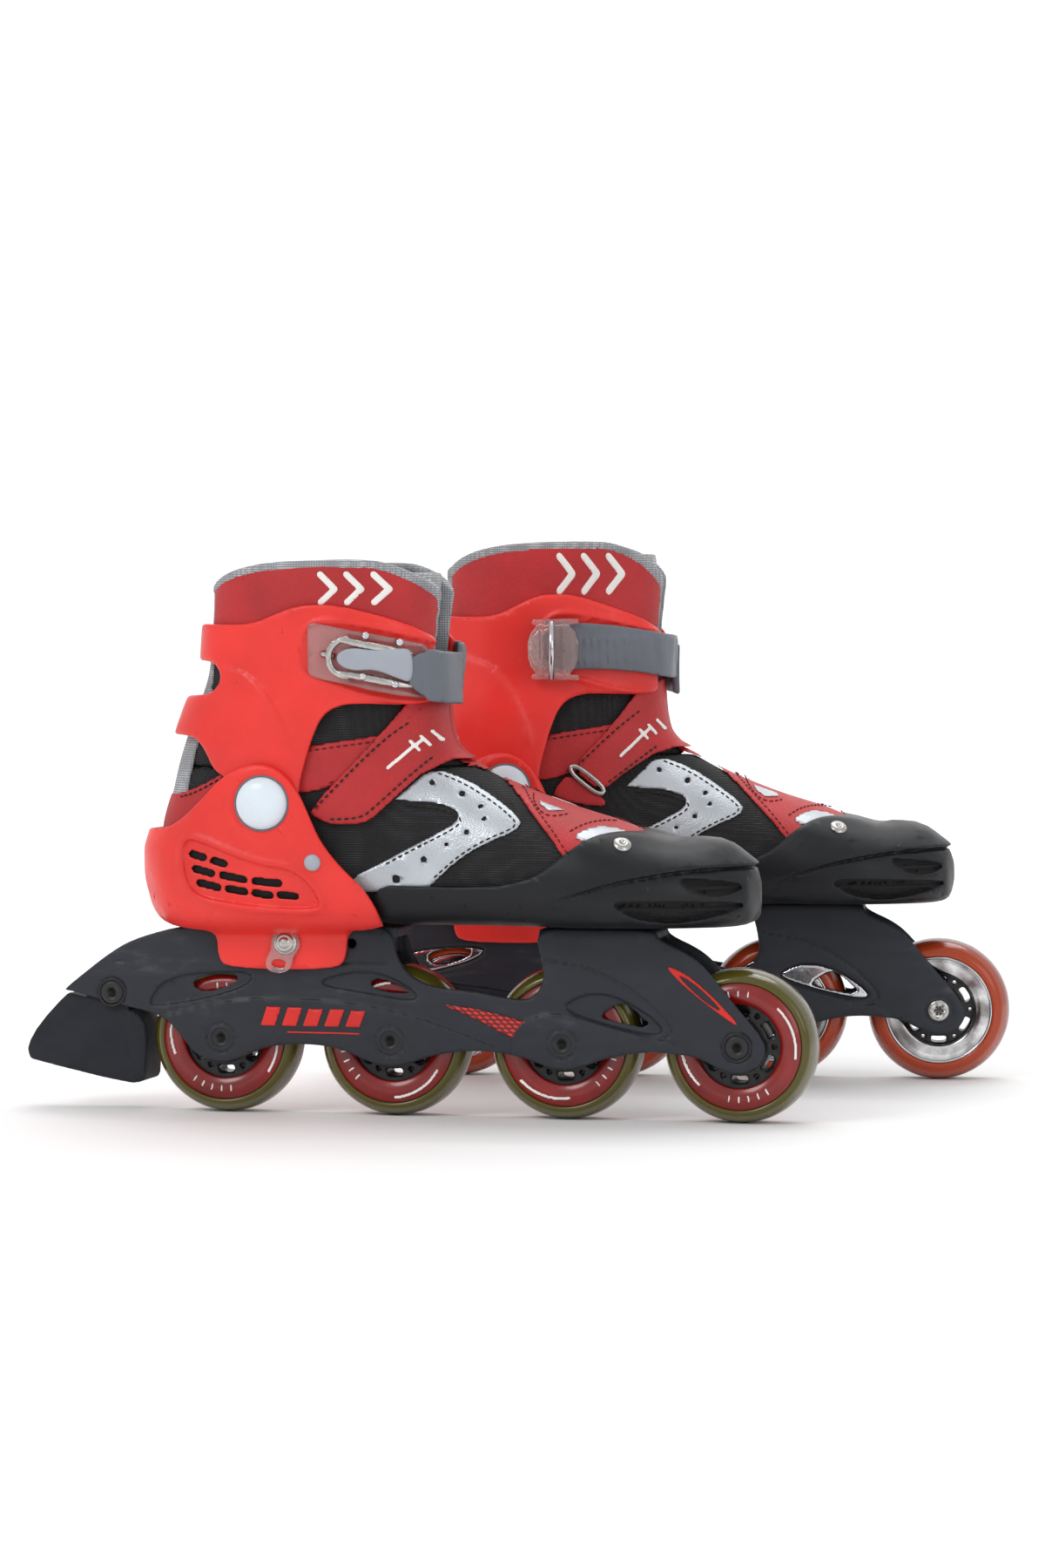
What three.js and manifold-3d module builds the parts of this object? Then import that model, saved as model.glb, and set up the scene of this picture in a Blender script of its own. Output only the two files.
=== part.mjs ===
// A pair of adjustable four-wheel inline skates, in millimetres, +Z up, toes towards +X.
// Each skate is modelled as a right skate about its own origin: on the floor, midway between
// wheels 2 and 3, lateral side -Y. The left skate is the mirror image, set beside it.
import * as THREE from "three";
import { mergeVertices } from "three/addons/utils/BufferGeometryUtils.js";
import Module from "manifold-3d";

const wasm = await Module();
wasm.setup();

// ---------------------------------------------------------------- driving dimensions

// Wheels
const WHEEL_DIAMETER = 70;
const WHEEL_WIDTH = 24;
const WHEEL_COUNT = 4;
const WHEEL_GAP = 10; // between two wheels
const HUB_DIAMETER = 47; // outside of the plastic core, where the tyre is moulded on
const HUB_WIDTH = 17;
const BEARING_OUTER = 22; // 608 bearing
const BEARING_BORE = 8.7;
const BEARING_WIDTH = 7;
const BEARING_PROUD = 1.5; // past the hub, on each side
const SPACER_DIAMETER = 12;
const AXLE_DIAMETER = 7.6;
const AXLE_HEAD_DIAMETER = 11.5;
const AXLE_HEAD_HEIGHT = 1.6;

// Frame
const RAIL_THICKNESS = 2.8;
const WHEEL_TO_RAIL = 1.2; // side clearance of a wheel
const BOSS_RADIUS = 11.5; // rail material round an axle
const DECK_CLEARANCE = 12; // deck over the wheels
const DECK_THICKNESS = 5;
const HEEL_DECK = [-135, -37]; // from, to along X
const TOE_DECK = [28, 84];
const TAIL_LENGTH = 39; // behind the rear wheel
const NOSE_LENGTH = 13; // ahead of the front axle

// Boot: heights are above the frame's deck, which it stands on
const ANKLE = { x: -92, z: 57 }; // cuff pivot
const SOFT_WALL = 6;
const SHELL_WALL = 3;
const CUFF_WALL = 2.6;
const CUFF_GAP = 1.8; // soft boot to cuff
const ARM_CLEARANCE = 1.8; // cuff's arm to the heel shell outside it
const STRAP_THICKNESS = 2.2;
const LIGHT_GAP = 0.4; // between pieces that lie on each other
const SIZE_TRAVEL = 20; // heel unit slides this far forward
const TOE_SHELL_REAR = -44;
const PIVOT_PIN_DIAMETER = 8;
const PIVOT_CAP_DIAMETER = 22.5;
const LOCK_PIN_DIAMETER = 4.4;
const LOCK_KNOB_DIAMETER = 11;
const LOCK = { x: -88, z: -7.5 };
const COLLAR_BASE = 113; // the collar is free of the cuff above this

// Fastenings, as side outlines on the boot: from rear to front, and from low to high
const BUCKLE = { rear: -70, front: -23, low: 108.5, high: 134, slope: -0.2 };
const LEVER = { rear: -57, front: -27.5, cheek: 2.4 };
const CLAMP = { rear: -81, front: -56, low: 109, high: 135, wall: 2.4 };
const BUCKLE_PLATE = 2;
const COVER_WALL = 2.4; // lever and clamp

// Brake: its bolt's place behind the rear wheel and above its axle
const BRAKE_WIDTH = 24;
const BRAKE_BOLT_BACK = 17.5;
const BRAKE_BOLT_UP = 20;
const BRAKE_BOLT_DIAMETER = 6;

// Pair: where the left skate stands, and how its upper differs as it is worn in
const LEFT_SKATE = { x: 62.5, y: 206.3, turn: 6.9 };
const RIGHT_UPPER = { stretch: 1.0, rimLift: 0 };
const LEFT_UPPER = { stretch: 1.06, rimLift: 6 };

// ---------------------------------------------------------------- derived sizes

const AXLE_HEIGHT = WHEEL_DIAMETER / 2;
const AXLE_PITCH = WHEEL_DIAMETER + WHEEL_GAP;
const DECK_TOP = WHEEL_DIAMETER + DECK_CLEARANCE + DECK_THICKNESS;
const AXLE_X = Array.from(
  { length: WHEEL_COUNT },
  (_, i) => (i - (WHEEL_COUNT - 1) / 2) * AXLE_PITCH,
);
const REAR_AXLE = AXLE_X[0];
const FRONT_AXLE = AXLE_X.at(-1);
const WHEELS_BACK = REAR_AXLE - WHEEL_DIAMETER / 2;
const TAIL = WHEELS_BACK - TAIL_LENGTH;
const BRAKE_BOLT = { x: WHEELS_BACK - BRAKE_BOLT_BACK, z: AXLE_HEIGHT + BRAKE_BOLT_UP };
const RAIL_INNER = WHEEL_WIDTH / 2 + WHEEL_TO_RAIL;
const RAIL_OUTER = RAIL_INNER + RAIL_THICKNESS;
const SOLE_HEIGHT = SHELL_WALL + 2 * LIGHT_GAP; // underside of the soft boot
const CUFF_IN = CUFF_GAP;
const CUFF_OUT = CUFF_IN + CUFF_WALL;
const TOE_OUT = LIGHT_GAP + SHELL_WALL;
const HEEL_IN = CUFF_OUT + ARM_CLEARANCE;
const HEEL_OUT = HEEL_IN + SHELL_WALL;
const BUCKLE_IN = CUFF_OUT + LIGHT_GAP;
const BUCKLE_OUT = BUCKLE_IN + BUCKLE_PLATE;
const LADDER_IN = BUCKLE_OUT + LIGHT_GAP;
const LADDER_OUT = LADDER_IN + STRAP_THICKNESS;
const COVER_IN = LADDER_OUT + LIGHT_GAP;
const COVER_OUT = COVER_IN + COVER_WALL;

const FAR = 120; // half width of a side outline that cuts a whole boot

// ---------------------------------------------------------------- materials

const paint = (hex, roughness, metalness = 0, opacity = 1) =>
  new THREE.MeshStandardMaterial({
    color: hex,
    roughness,
    metalness,
    opacity,
    transparent: opacity < 1,
  });
const MATERIALS = {
  frame: paint(0x333538, 0.55),
  black: paint(0x26282a, 0.5),
  red: paint(0xf53c34, 0.35),
  darkRed: paint(0xb8322f, 0.6),
  white: paint(0xe8ecee, 0.35),
  clear: paint(0xe8c8c4, 0.15, 0, 0.5),
  grey: paint(0x6c7178, 0.5),
  steel: paint(0xb9bcc0, 0.25, 1),
  tyre: paint(0x4a471e, 0.3),
  rubber: paint(0x1c1d1f, 0.8),
};

// ---------------------------------------------------------------- solids

// How many flats stand for each round
const CURVE_STEPS = 4; // along each curve of a side outline
const BORE_SIDES = 8;
const SMALL_SIDES = 12;
const HUB_SIDES = 12;
const TYRE_SIDES = 20;
const AROUND_FOOT = 12;
const AROUND_LEG = 14;
const AROUND_CAVITY = 8;

// A closed three.js geometry as a solid for cutting and joining.
function solid(geometry) {
  const bare = geometry.clone();
  for (const name of Object.keys(bare.attributes)) {
    if (name !== "position") bare.deleteAttribute(name);
  }
  const merged = mergeVertices(bare, 1e-3);
  return new wasm.Manifold(
    new wasm.Mesh({
      numProp: 3,
      vertProperties: merged.attributes.position.array,
      triVerts: new Uint32Array(merged.index.array),
    }),
  );
}

function geometryOf(manifold) {
  const { vertProperties, triVerts } = manifold.getMesh();
  const geometry = new THREE.BufferGeometry();
  geometry.setAttribute("position", new THREE.BufferAttribute(vertProperties, 3));
  geometry.setIndex(new THREE.BufferAttribute(triVerts, 1));
  geometry.computeVertexNormals();
  return geometry;
}

const join = (...solids) => solids.reduce((sum, s) => sum.add(s));
const cut = (from, ...tools) => tools.reduce((rest, s) => rest.subtract(s), from);

// A side outline, given as [x, z] points or a Shape, run across from y0 to y1.
function sideSlab(outline, y0, y1) {
  const shape = outline instanceof THREE.Shape
    ? outline
    : new THREE.Shape(outline.map(([x, z]) => new THREE.Vector2(x, z)));
  const geometry = new THREE.ExtrudeGeometry(shape, {
    depth: y1 - y0,
    bevelEnabled: false,
    curveSegments: CURVE_STEPS,
  });
  geometry.rotateX(Math.PI / 2);
  geometry.translate(0, y1, 0);
  return solid(geometry);
}

function block(x0, x1, y0, y1, z0, z1) {
  const geometry = new THREE.BoxGeometry(x1 - x0, y1 - y0, z1 - z0);
  geometry.translate((x0 + x1) / 2, (y0 + y1) / 2, (z0 + z1) / 2);
  return solid(geometry);
}

// A bore across the skate at [x, z], from y0 to y1; its flats lie on the diameter.
function bore(x, z, diameter, y0 = -FAR, y1 = FAR) {
  const radius = diameter / 2 / Math.cos(Math.PI / BORE_SIDES);
  const geometry = new THREE.CylinderGeometry(radius, radius, y1 - y0, BORE_SIDES);
  geometry.translate(x, (y0 + y1) / 2, z);
  return solid(geometry);
}

// A closed [radius, y] profile turned about the cross axis, with a corner at the bottom.
function turned(profile, sides) {
  const points = profile.map(([r, y]) => new THREE.Vector2(r, y));
  points.push(points[0].clone());
  const geometry = new THREE.LatheGeometry(points, sides);
  return geometry;
}

// ---------------------------------------------------------------- boot lofts

// Foot sections: x, half width, underside, top, shift towards the inner side of the foot.
const FOOT = [
  { x: -146, half: 12, bottom: 9, top: 43, shift: 0 },
  { x: -139, half: 24, bottom: 2, top: 53, shift: 0 },
  { x: -122, half: 31, bottom: 0, top: 59, shift: 0 },
  { x: -92, half: 34, bottom: 0, top: 65, shift: 0 },
  { x: -50, half: 35.5, bottom: 0, top: 81, shift: 0 },
  { x: -12, half: 37.5, bottom: 0, top: 78, shift: 0.5 },
  { x: 18, half: 41, bottom: 0, top: 63, shift: 1.5 },
  { x: 42, half: 44, bottom: 0, top: 54, shift: 2.5 },
  { x: 64, half: 44, bottom: 0, top: 47, shift: 4 },
  { x: 84, half: 40, bottom: 0.3, top: 39, shift: 5.5 },
  { x: 101, half: 32, bottom: 1.5, top: 33.5, shift: 6.5 },
  { x: 114, half: 21, bottom: 4, top: 26, shift: 7 },
  { x: 121, half: 10, bottom: 8, top: 18, shift: 7 },
];
// Leg sections: height, back, front, half width.
const LEG = [
  { z: 19, back: -146, front: -24, half: 34 },
  { z: 39, back: -147, front: -14, half: 36.5 },
  { z: ANKLE.z, back: -145, front: -12, half: 37 },
  { z: 75, back: -141, front: -15, half: 37 },
  { z: 93, back: -135, front: -19, half: 36.5 },
  { z: 113, back: -127.5, front: -20, half: 36 },
  { z: 135, back: -125, front: -19, half: 37 },
  { z: 158, back: -124, front: -16, half: 39 },
  { z: 203, back: -125, front: -12, half: 42 },
];
const LOWEST_OF_WIDEST = 0.34; // share of a foot section's height where it is widest

const power = (value, exponent) => Math.sign(value) * Math.abs(value) ** exponent;
// Heights above the ankle pivot stretch with the upper.
const raised = (z, upper) => (z > ANKLE.z ? ANKLE.z + (z - ANKLE.z) * upper.stretch : z);

// Foot volume, grown by `offset` at the sides, ends and top, and by `sole` below.
function foot(offset, sole, around = AROUND_FOOT) {
  const geometry = new THREE.CylinderGeometry(1, 1, 1, around, FOOT.length - 1);
  geometry.rotateZ(-Math.PI / 2);
  const middle = (FOOT[0].x + FOOT.at(-1).x) / 2;
  const halfLength = (FOOT.at(-1).x - FOOT[0].x) / 2;
  const at = geometry.attributes.position;
  for (let i = 0; i < at.count; i += 1) {
    const section = FOOT[Math.round((at.getX(i) + 0.5) * (FOOT.length - 1))];
    const isCentre = Math.hypot(at.getY(i), at.getZ(i)) < 0.5;
    const across = isCentre ? 0 : at.getY(i);
    const upward = isCentre ? 0 : at.getZ(i);
    const bottom = SOLE_HEIGHT + section.bottom - sole;
    const top = section.top + offset;
    const widest = bottom + (top - bottom) * LOWEST_OF_WIDEST;
    const reach = upward > 0 ? top - widest : widest - bottom;
    at.setXYZ(
      i,
      section.x + (offset * (section.x - middle)) / halfLength,
      section.shift + (section.half + offset) * power(across, upward > 0 ? 0.95 : 0.62),
      widest + reach * power(upward, upward > 0 ? 0.9 : 0.62),
    );
  }
  return solid(geometry);
}

// Leg volume, grown by `offset` all round.
function leg(offset, upper, around = AROUND_LEG) {
  const geometry = new THREE.CylinderGeometry(1, 1, 1, around, LEG.length - 1);
  geometry.rotateX(Math.PI / 2);
  const at = geometry.attributes.position;
  for (let i = 0; i < at.count; i += 1) {
    const section = LEG[Math.round((at.getZ(i) + 0.5) * (LEG.length - 1))];
    const isCentre = Math.hypot(at.getX(i), at.getY(i)) < 0.5;
    const along = isCentre ? 0 : at.getX(i);
    const across = isCentre ? 0 : at.getY(i);
    const halfLength = (section.front - section.back) / 2;
    at.setXYZ(
      i,
      (section.front + section.back) / 2 + (halfLength + offset) * power(along, 0.8),
      (section.half + offset) * power(across, 0.8),
      raised(section.z, upper),
    );
  }
  return solid(geometry);
}

const bootVolume = (offset, sole, upper) => join(foot(offset, sole), leg(offset, upper));

// A layer of the leg between two offsets, inside a side outline between y0 and y1.
function legLayer(inner, outer, outline, upper, y0 = -FAR, y1 = FAR) {
  const stretched = outline.map(([x, z]) => [x, raised(z, upper)]);
  return cut(leg(outer, upper), leg(inner, upper)).intersect(sideSlab(stretched, y0, y1));
}

// ---------------------------------------------------------------- boot pieces

function softBoot(upper) {
  const rim = [
    [-170, -27],
    [-170, 152],
    [-121, 153],
    [-108, 160],
    [-85, 164.5],
    [-46, 165.5],
    [-30, 160],
    [-19, 151],
    [-17, 139],
    [-8, 118],
    [150, 103],
    [150, -27],
  ];
  const lifted = rim.map(([x, z]) => [x, raised(z, upper) + (z > COLLAR_BASE ? upper.rimLift : 0)]);
  const outer = bootVolume(0, 0, upper);
  const cavity = join(
    foot(-SOFT_WALL, -SOFT_WALL, AROUND_CAVITY),
    leg(-SOFT_WALL, upper, AROUND_CAVITY),
  );
  return cut(outer, cavity).intersect(sideSlab(lifted, -FAR, FAR));
}

function toeShell() {
  const outline = [
    [TOE_SHELL_REAR, -7],
    [TOE_SHELL_REAR, 20],
    [22, 21],
    [34, 25.5],
    [46, 35],
    [56, 42],
    [60, 63],
    [150, 63],
    [150, -7],
  ];
  const shell = cut(foot(TOE_OUT, TOE_OUT), foot(LIGHT_GAP, LIGHT_GAP));
  return shell.intersect(sideSlab(outline, -FAR, FAR));
}

function heelShell(upper) {
  const ankleArc = [];
  for (let degrees = -10; degrees <= 130; degrees += 20) {
    const angle = THREE.MathUtils.degToRad(degrees);
    ankleArc.push([ANKLE.x + 18 * Math.cos(angle), ANKLE.z + 18 * Math.sin(angle)]);
  }
  const outline = [
    [-39, -7],
    [-39.3, 8],
    [-45.4, 19],
    [-54.7, 27.4],
    [-64.8, 40],
    ...ankleArc,
    [-133.6, 47.5],
    [-170, 46],
    [-170, -7],
  ];
  // The walls reach down outside the toe shell and astride the frame; the floor stops short
  // of the toe shell by the travel.
  const inside = TOE_OUT + LIGHT_GAP;
  const volume = bootVolume(HEEL_OUT, inside + SHELL_WALL, upper);
  const tabIn = RAIL_OUTER + LIGHT_GAP;
  const walls = cut(
    volume,
    bootVolume(HEEL_IN, inside, upper),
    block(-FAR * 2, FAR, -tabIn, tabIn, -DECK_TOP, LIGHT_GAP),
  );
  const floorEnd = TOE_SHELL_REAR - SIZE_TRAVEL - 2;
  const floor = volume.intersect(
    block(-FAR * 2, floorEnd, -FAR, FAR, LIGHT_GAP, SOLE_HEIGHT - LIGHT_GAP),
  );
  const body = join(walls, floor).intersect(sideSlab(outline, -FAR, FAR));
  const tabTop = SOLE_HEIGHT - inside - 1; // within the wall's thickness
  const tab = [
    [-121, tabTop],
    [-121, -15],
    [-116, -20],
    [-64.5, -20],
    [-59.5, -15],
    [-59.5, tabTop],
  ];
  return cut(
    join(body, sideSlab(tab, tabIn, tabIn + SHELL_WALL), sideSlab(tab, -tabIn - SHELL_WALL, -tabIn)),
    bore(ANKLE.x, ANKLE.z, PIVOT_PIN_DIAMETER + 2 * LIGHT_GAP),
    bore(LOCK.x, LOCK.z, LOCK_PIN_DIAMETER + 2 * LIGHT_GAP, -FAR, 0),
  );
}

function cuff(upper) {
  const ankleArc = [];
  for (let degrees = -150; degrees <= -30; degrees += 30) {
    const angle = THREE.MathUtils.degToRad(degrees);
    ankleArc.push([ANKLE.x + 15 * Math.cos(angle), ANKLE.z + 15 * Math.sin(angle)]);
  }
  const outline = [
    [-105, 63],
    ...ankleArc,
    [-75.5, 66],
    [-72, 79],
    [-69, 88],
    [-65, 96.5],
    [-58, 101],
    [-22, 102],
    [-17, 106],
    [-17, 130],
    [-27.5, 138],
    [-41, 142.5],
    [-58, 146],
    [-71, 146.5],
    [-88, 142.5],
    [-99, 138],
    [-128, 138],
    [-150, 134],
    [-150, 125],
    [-128, 122],
    [-122, 116],
    [-125, 108],
    [-150, 104],
    [-150, 93],
    [-138, 90],
    [-127, 81],
    [-122, 71],
  ];
  const wrap = legLayer(CUFF_IN, CUFF_OUT, outline, upper);
  return cut(wrap, bore(ANKLE.x, ANKLE.z, PIVOT_PIN_DIAMETER + 2 * LIGHT_GAP));
}

// Domed cap outside the heel shell, with its pin through the heel shell and the cuff's arm.
function ankleRivet(side) {
  const ankle = LEG.find((section) => section.z === ANKLE.z);
  const seat = ankle.half + HEEL_OUT + LIGHT_GAP;
  const tip = ankle.half + CUFF_IN;
  const rim = PIVOT_CAP_DIAMETER / 2;
  const profile = [
    [0, tip],
    [PIVOT_PIN_DIAMETER / 2, tip],
    [PIVOT_PIN_DIAMETER / 2, seat],
    [rim, seat],
    [rim, seat + 1.4],
    [rim * 0.72, seat + 3.4],
    [0, seat + 4.3],
  ].map(([r, y]) => new THREE.Vector2(r, y));
  const geometry = new THREE.LatheGeometry(profile, SMALL_SIDES);
  if (side < 0) geometry.rotateX(Math.PI);
  geometry.translate(ANKLE.x, 0, ANKLE.z);
  return solid(geometry);
}

// A band along the buckle's slope, from rear to front and from low to high.
function tilted(x0, x1, z0, z1) {
  const middle = (BUCKLE.rear + BUCKLE.front) / 2;
  const drop = (x) => (x - middle) * BUCKLE.slope;
  return [
    [x0, z0 + drop(x0)],
    [x1, z0 + drop(x1)],
    [x1, z1 + drop(x1)],
    [x0, z1 + drop(x0)],
  ];
}

// Plate on the cuff with two cheeks that carry the lever's pin.
function buckleBase(upper) {
  const { rear, front, low, high } = BUCKLE;
  const plate = legLayer(BUCKLE_IN, BUCKLE_OUT, tilted(rear, front, low, high), upper, -FAR, 0);
  const { cheek } = LEVER;
  const cheeks = [
    tilted(LEVER.rear + 6, front, low, low + cheek),
    tilted(LEVER.rear + 6, front, high - cheek, high),
  ].map((outline) => legLayer(BUCKLE_IN, COVER_OUT, outline, upper, -FAR, 0));
  return join(plate, ...cheeks);
}

function buckleLever(upper) {
  const edge = LEVER.cheek + 2 * LIGHT_GAP;
  const outline = tilted(LEVER.rear, LEVER.front, BUCKLE.low + edge, BUCKLE.high - edge);
  return legLayer(COVER_IN, COVER_OUT + 1, outline, upper, -FAR, 0);
}

// Toothed strap from the buckle, round the front of the leg, to the clamp.
function ladderStrap(upper) {
  const edge = LEVER.cheek + LIGHT_GAP;
  const lateral = tilted(-50, -2, BUCKLE.low + edge, BUCKLE.high - edge);
  const inset = CLAMP.wall + LIGHT_GAP;
  const medial = [
    [CLAMP.rear + 8, CLAMP.low + inset],
    [-50, CLAMP.low + inset],
    [-2, lateral[1][1]],
    [-2, lateral[2][1]],
    [-50, CLAMP.high - inset],
    [CLAMP.rear + 8, CLAMP.high - inset],
  ];
  return join(
    legLayer(LADDER_IN, LADDER_OUT, lateral, upper, -FAR, 0.5),
    legLayer(LADDER_IN, LADDER_OUT, medial, upper, 0, FAR),
  );
}

// Hinged cover over the strap's inner end, with a wall above and below the strap.
function strapClamp(upper) {
  const { rear, front, low, high, wall } = CLAMP;
  const band = (x0, x1, z0, z1) => [
    [x0, z0],
    [x1, z0],
    [x1, z1],
    [x0, z1],
  ];
  return join(
    legLayer(COVER_IN, COVER_OUT, band(rear, front, low, high), upper, 0, FAR),
    legLayer(BUCKLE_IN, COVER_OUT, band(rear + 5, front, low, low + wall), upper, 0, FAR),
    legLayer(BUCKLE_IN, COVER_OUT, band(rear + 5, front, high - wall, high), upper, 0, FAR),
  );
}

// Strap over the instep, low at the ankle and high at the front.
function instepStrap(upper) {
  const outline = [
    [-71, 54],
    [-58, 47],
    [-44, 48.5],
    [-16, 73],
    [10, 75],
    [10, 93],
    [-29, 97],
  ];
  const layer = cut(bootVolume(LIGHT_GAP + 1.2, 0, upper), bootVolume(LIGHT_GAP, 0, upper));
  return layer.intersect(sideSlab(outline, -FAR, FAR));
}

// Spring knob outside the heel shell's tab; its pin reaches into the frame's slot.
function sizeLock() {
  const seat = RAIL_OUTER + 2 * LIGHT_GAP + SHELL_WALL;
  const tip = RAIL_OUTER - RAIL_THICKNESS + LIGHT_GAP;
  const profile = [
    [0, tip],
    [LOCK_PIN_DIAMETER / 2, tip],
    [LOCK_PIN_DIAMETER / 2, seat],
    [LOCK_KNOB_DIAMETER / 2, seat],
    [LOCK_KNOB_DIAMETER / 2, seat + 2.2],
    [LOCK_KNOB_DIAMETER * 0.32, seat + 4],
    [0, seat + 4.4],
  ].map(([r, y]) => new THREE.Vector2(r, y));
  const geometry = new THREE.LatheGeometry(profile, SMALL_SIDES);
  geometry.rotateX(Math.PI);
  geometry.translate(LOCK.x, 0, LOCK.z);
  return solid(geometry);
}

// ---------------------------------------------------------------- frame and brake

// Side outline of a rail: the underside follows the axles, the top carries the decks.
function railShape() {
  const shape = new THREE.Shape();
  const nose = FRONT_AXLE + NOSE_LENGTH;
  shape.moveTo(TAIL, AXLE_HEIGHT + 21);
  shape.lineTo(TAIL + 22, AXLE_HEIGHT + 15);
  shape.lineTo(TAIL + 43, AXLE_HEIGHT + 11);
  AXLE_X.forEach((x, i) => {
    shape.absarc(x, AXLE_HEIGHT, BOSS_RADIUS, Math.PI * 1.08, Math.PI * 1.85, false);
    if (i < WHEEL_COUNT - 1) shape.lineTo(x + AXLE_PITCH / 2, AXLE_HEIGHT - 1.5);
  });
  shape.lineTo(nose, AXLE_HEIGHT + 2);
  shape.lineTo(nose - 15, AXLE_HEIGHT + 20.5);
  shape.lineTo(Math.max(nose - 31, TOE_DECK[1]), DECK_TOP - 12);
  shape.lineTo(TOE_DECK[1], DECK_TOP - 3);
  shape.lineTo(TOE_DECK[1], DECK_TOP);
  shape.lineTo(TOE_DECK[0], DECK_TOP);
  shape.lineTo(TOE_DECK[0] + 2.5, DECK_TOP - 21);
  shape.quadraticCurveTo(TOE_DECK[0] + 2, DECK_TOP - 33, TOE_DECK[0] - 8, DECK_TOP - 32.5);
  shape.lineTo(-2.5, DECK_TOP - 27.5);
  shape.lineTo(HEEL_DECK[1] + 6, DECK_TOP - 22);
  shape.lineTo(HEEL_DECK[1], DECK_TOP - 14);
  shape.lineTo(HEEL_DECK[1], DECK_TOP);
  shape.lineTo(HEEL_DECK[0], DECK_TOP);
  shape.lineTo(TAIL + 35, DECK_TOP - 6);
  shape.lineTo(TAIL + 22, DECK_TOP - 12);
  const eye = (x, z, halfLong, halfHigh, turn) => {
    const hole = new THREE.Path();
    hole.absellipse(x, z, halfLong, halfHigh, 0, Math.PI * 2, true, turn);
    shape.holes.push(hole);
  };
  eye(REAR_AXLE - 4, AXLE_HEIGHT + 26, 11, 3.6, 0.06);
  eye(REAR_AXLE + AXLE_PITCH, AXLE_HEIGHT + 25, 9, 2.8, -0.22);
  eye(FRONT_AXLE - AXLE_PITCH + 29, AXLE_HEIGHT + 13, 11, 4, -0.42);
  return shape;
}

function frame() {
  const shape = railShape();
  const rails = join(
    sideSlab(shape, RAIL_INNER, RAIL_OUTER),
    sideSlab(shape, -RAIL_OUTER, -RAIL_INNER),
  );
  const deck = (range) =>
    block(range[0], range[1], -RAIL_INNER - 1, RAIL_INNER + 1, DECK_TOP - DECK_THICKNESS, DECK_TOP);
  const tailTop = DECK_TOP - 14;
  const tailBridge = block(
    TAIL + 26,
    TAIL + 38,
    -RAIL_INNER - 1,
    RAIL_INNER + 1,
    tailTop - DECK_THICKNESS,
    tailTop,
  );
  const bores = AXLE_X.map((x) => bore(x, AXLE_HEIGHT, AXLE_DIAMETER + 2 * LIGHT_GAP));
  const slot = block(
    LOCK.x - LOCK_PIN_DIAMETER / 2 - LIGHT_GAP,
    LOCK.x + SIZE_TRAVEL + LOCK_PIN_DIAMETER / 2 + LIGHT_GAP,
    -FAR,
    -RAIL_INNER + 0.1,
    DECK_TOP + LOCK.z - LOCK_PIN_DIAMETER / 2 - LIGHT_GAP,
    DECK_TOP + LOCK.z + LOCK_PIN_DIAMETER / 2 + LIGHT_GAP,
  );
  return cut(
    join(rails, deck(HEEL_DECK), deck(TOE_DECK), tailBridge),
    ...bores,
    slot,
    bore(BRAKE_BOLT.x, BRAKE_BOLT.z, BRAKE_BOLT_DIAMETER + 2 * LIGHT_GAP),
  );
}

// Rubber block under the tail, with a tongue between the rails that takes the bolt.
function brakePad() {
  const outline = (points) => points.map(([x, z]) => [WHEELS_BACK + x, AXLE_HEIGHT + z]);
  const pad = outline([
    [-40, 18.5],
    [-54, 4.7],
    [-60, -5.6],
    [-58, -11.2],
    [-9.5, -22],
    [-3, -20.5],
    [-2, 3.6],
    [-8.5, 11.5],
  ]);
  const tongue = outline([
    [-29, 15],
    [-27, 27],
    [-11, 27],
    [-7, 11],
    [-9, 9],
  ]);
  const tongueHalf = RAIL_INNER - LIGHT_GAP;
  return cut(
    join(sideSlab(pad, -BRAKE_WIDTH / 2, BRAKE_WIDTH / 2), sideSlab(tongue, -tongueHalf, tongueHalf)),
    bore(BRAKE_BOLT.x, BRAKE_BOLT.z, BRAKE_BOLT_DIAMETER + 2 * LIGHT_GAP),
  );
}

// A bolt across the frame: head on the lateral side, screw head on the other.
function crossBolt(shank, head) {
  const seat = RAIL_OUTER + LIGHT_GAP;
  const end = seat + AXLE_HEAD_HEIGHT;
  return [
    [0, -end],
    [head / 2, -end],
    [head / 2, -seat],
    [shank / 2, -seat],
    [shank / 2, seat],
    [head / 2, seat],
    [head / 2, end],
    [0, end],
  ].map(([r, y]) => new THREE.Vector2(r, y));
}

// ---------------------------------------------------------------- wheels

function tyreGeometry() {
  const outer = WHEEL_DIAMETER / 2;
  const bed = HUB_DIAMETER / 2 + LIGHT_GAP;
  const half = WHEEL_WIDTH / 2;
  return turned(
    [
      [bed, -half + 1],
      [outer - 6, -half],
      [outer, -2.5],
      [outer, 2.5],
      [outer - 6, half],
      [bed, half - 1],
    ],
    TYRE_SIDES,
  );
}

function hubGeometry() {
  const outer = (HUB_DIAMETER / 2) * Math.cos(Math.PI / TYRE_SIDES);
  const bore = BEARING_OUTER / 2 + LIGHT_GAP;
  const half = HUB_WIDTH / 2;
  return turned(
    [
      [bore, -half],
      [bore + 3, -half],
      [outer, -half + 2],
      [outer, half - 2],
      [bore + 3, half],
      [bore, half],
    ],
    HUB_SIDES,
  );
}

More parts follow.
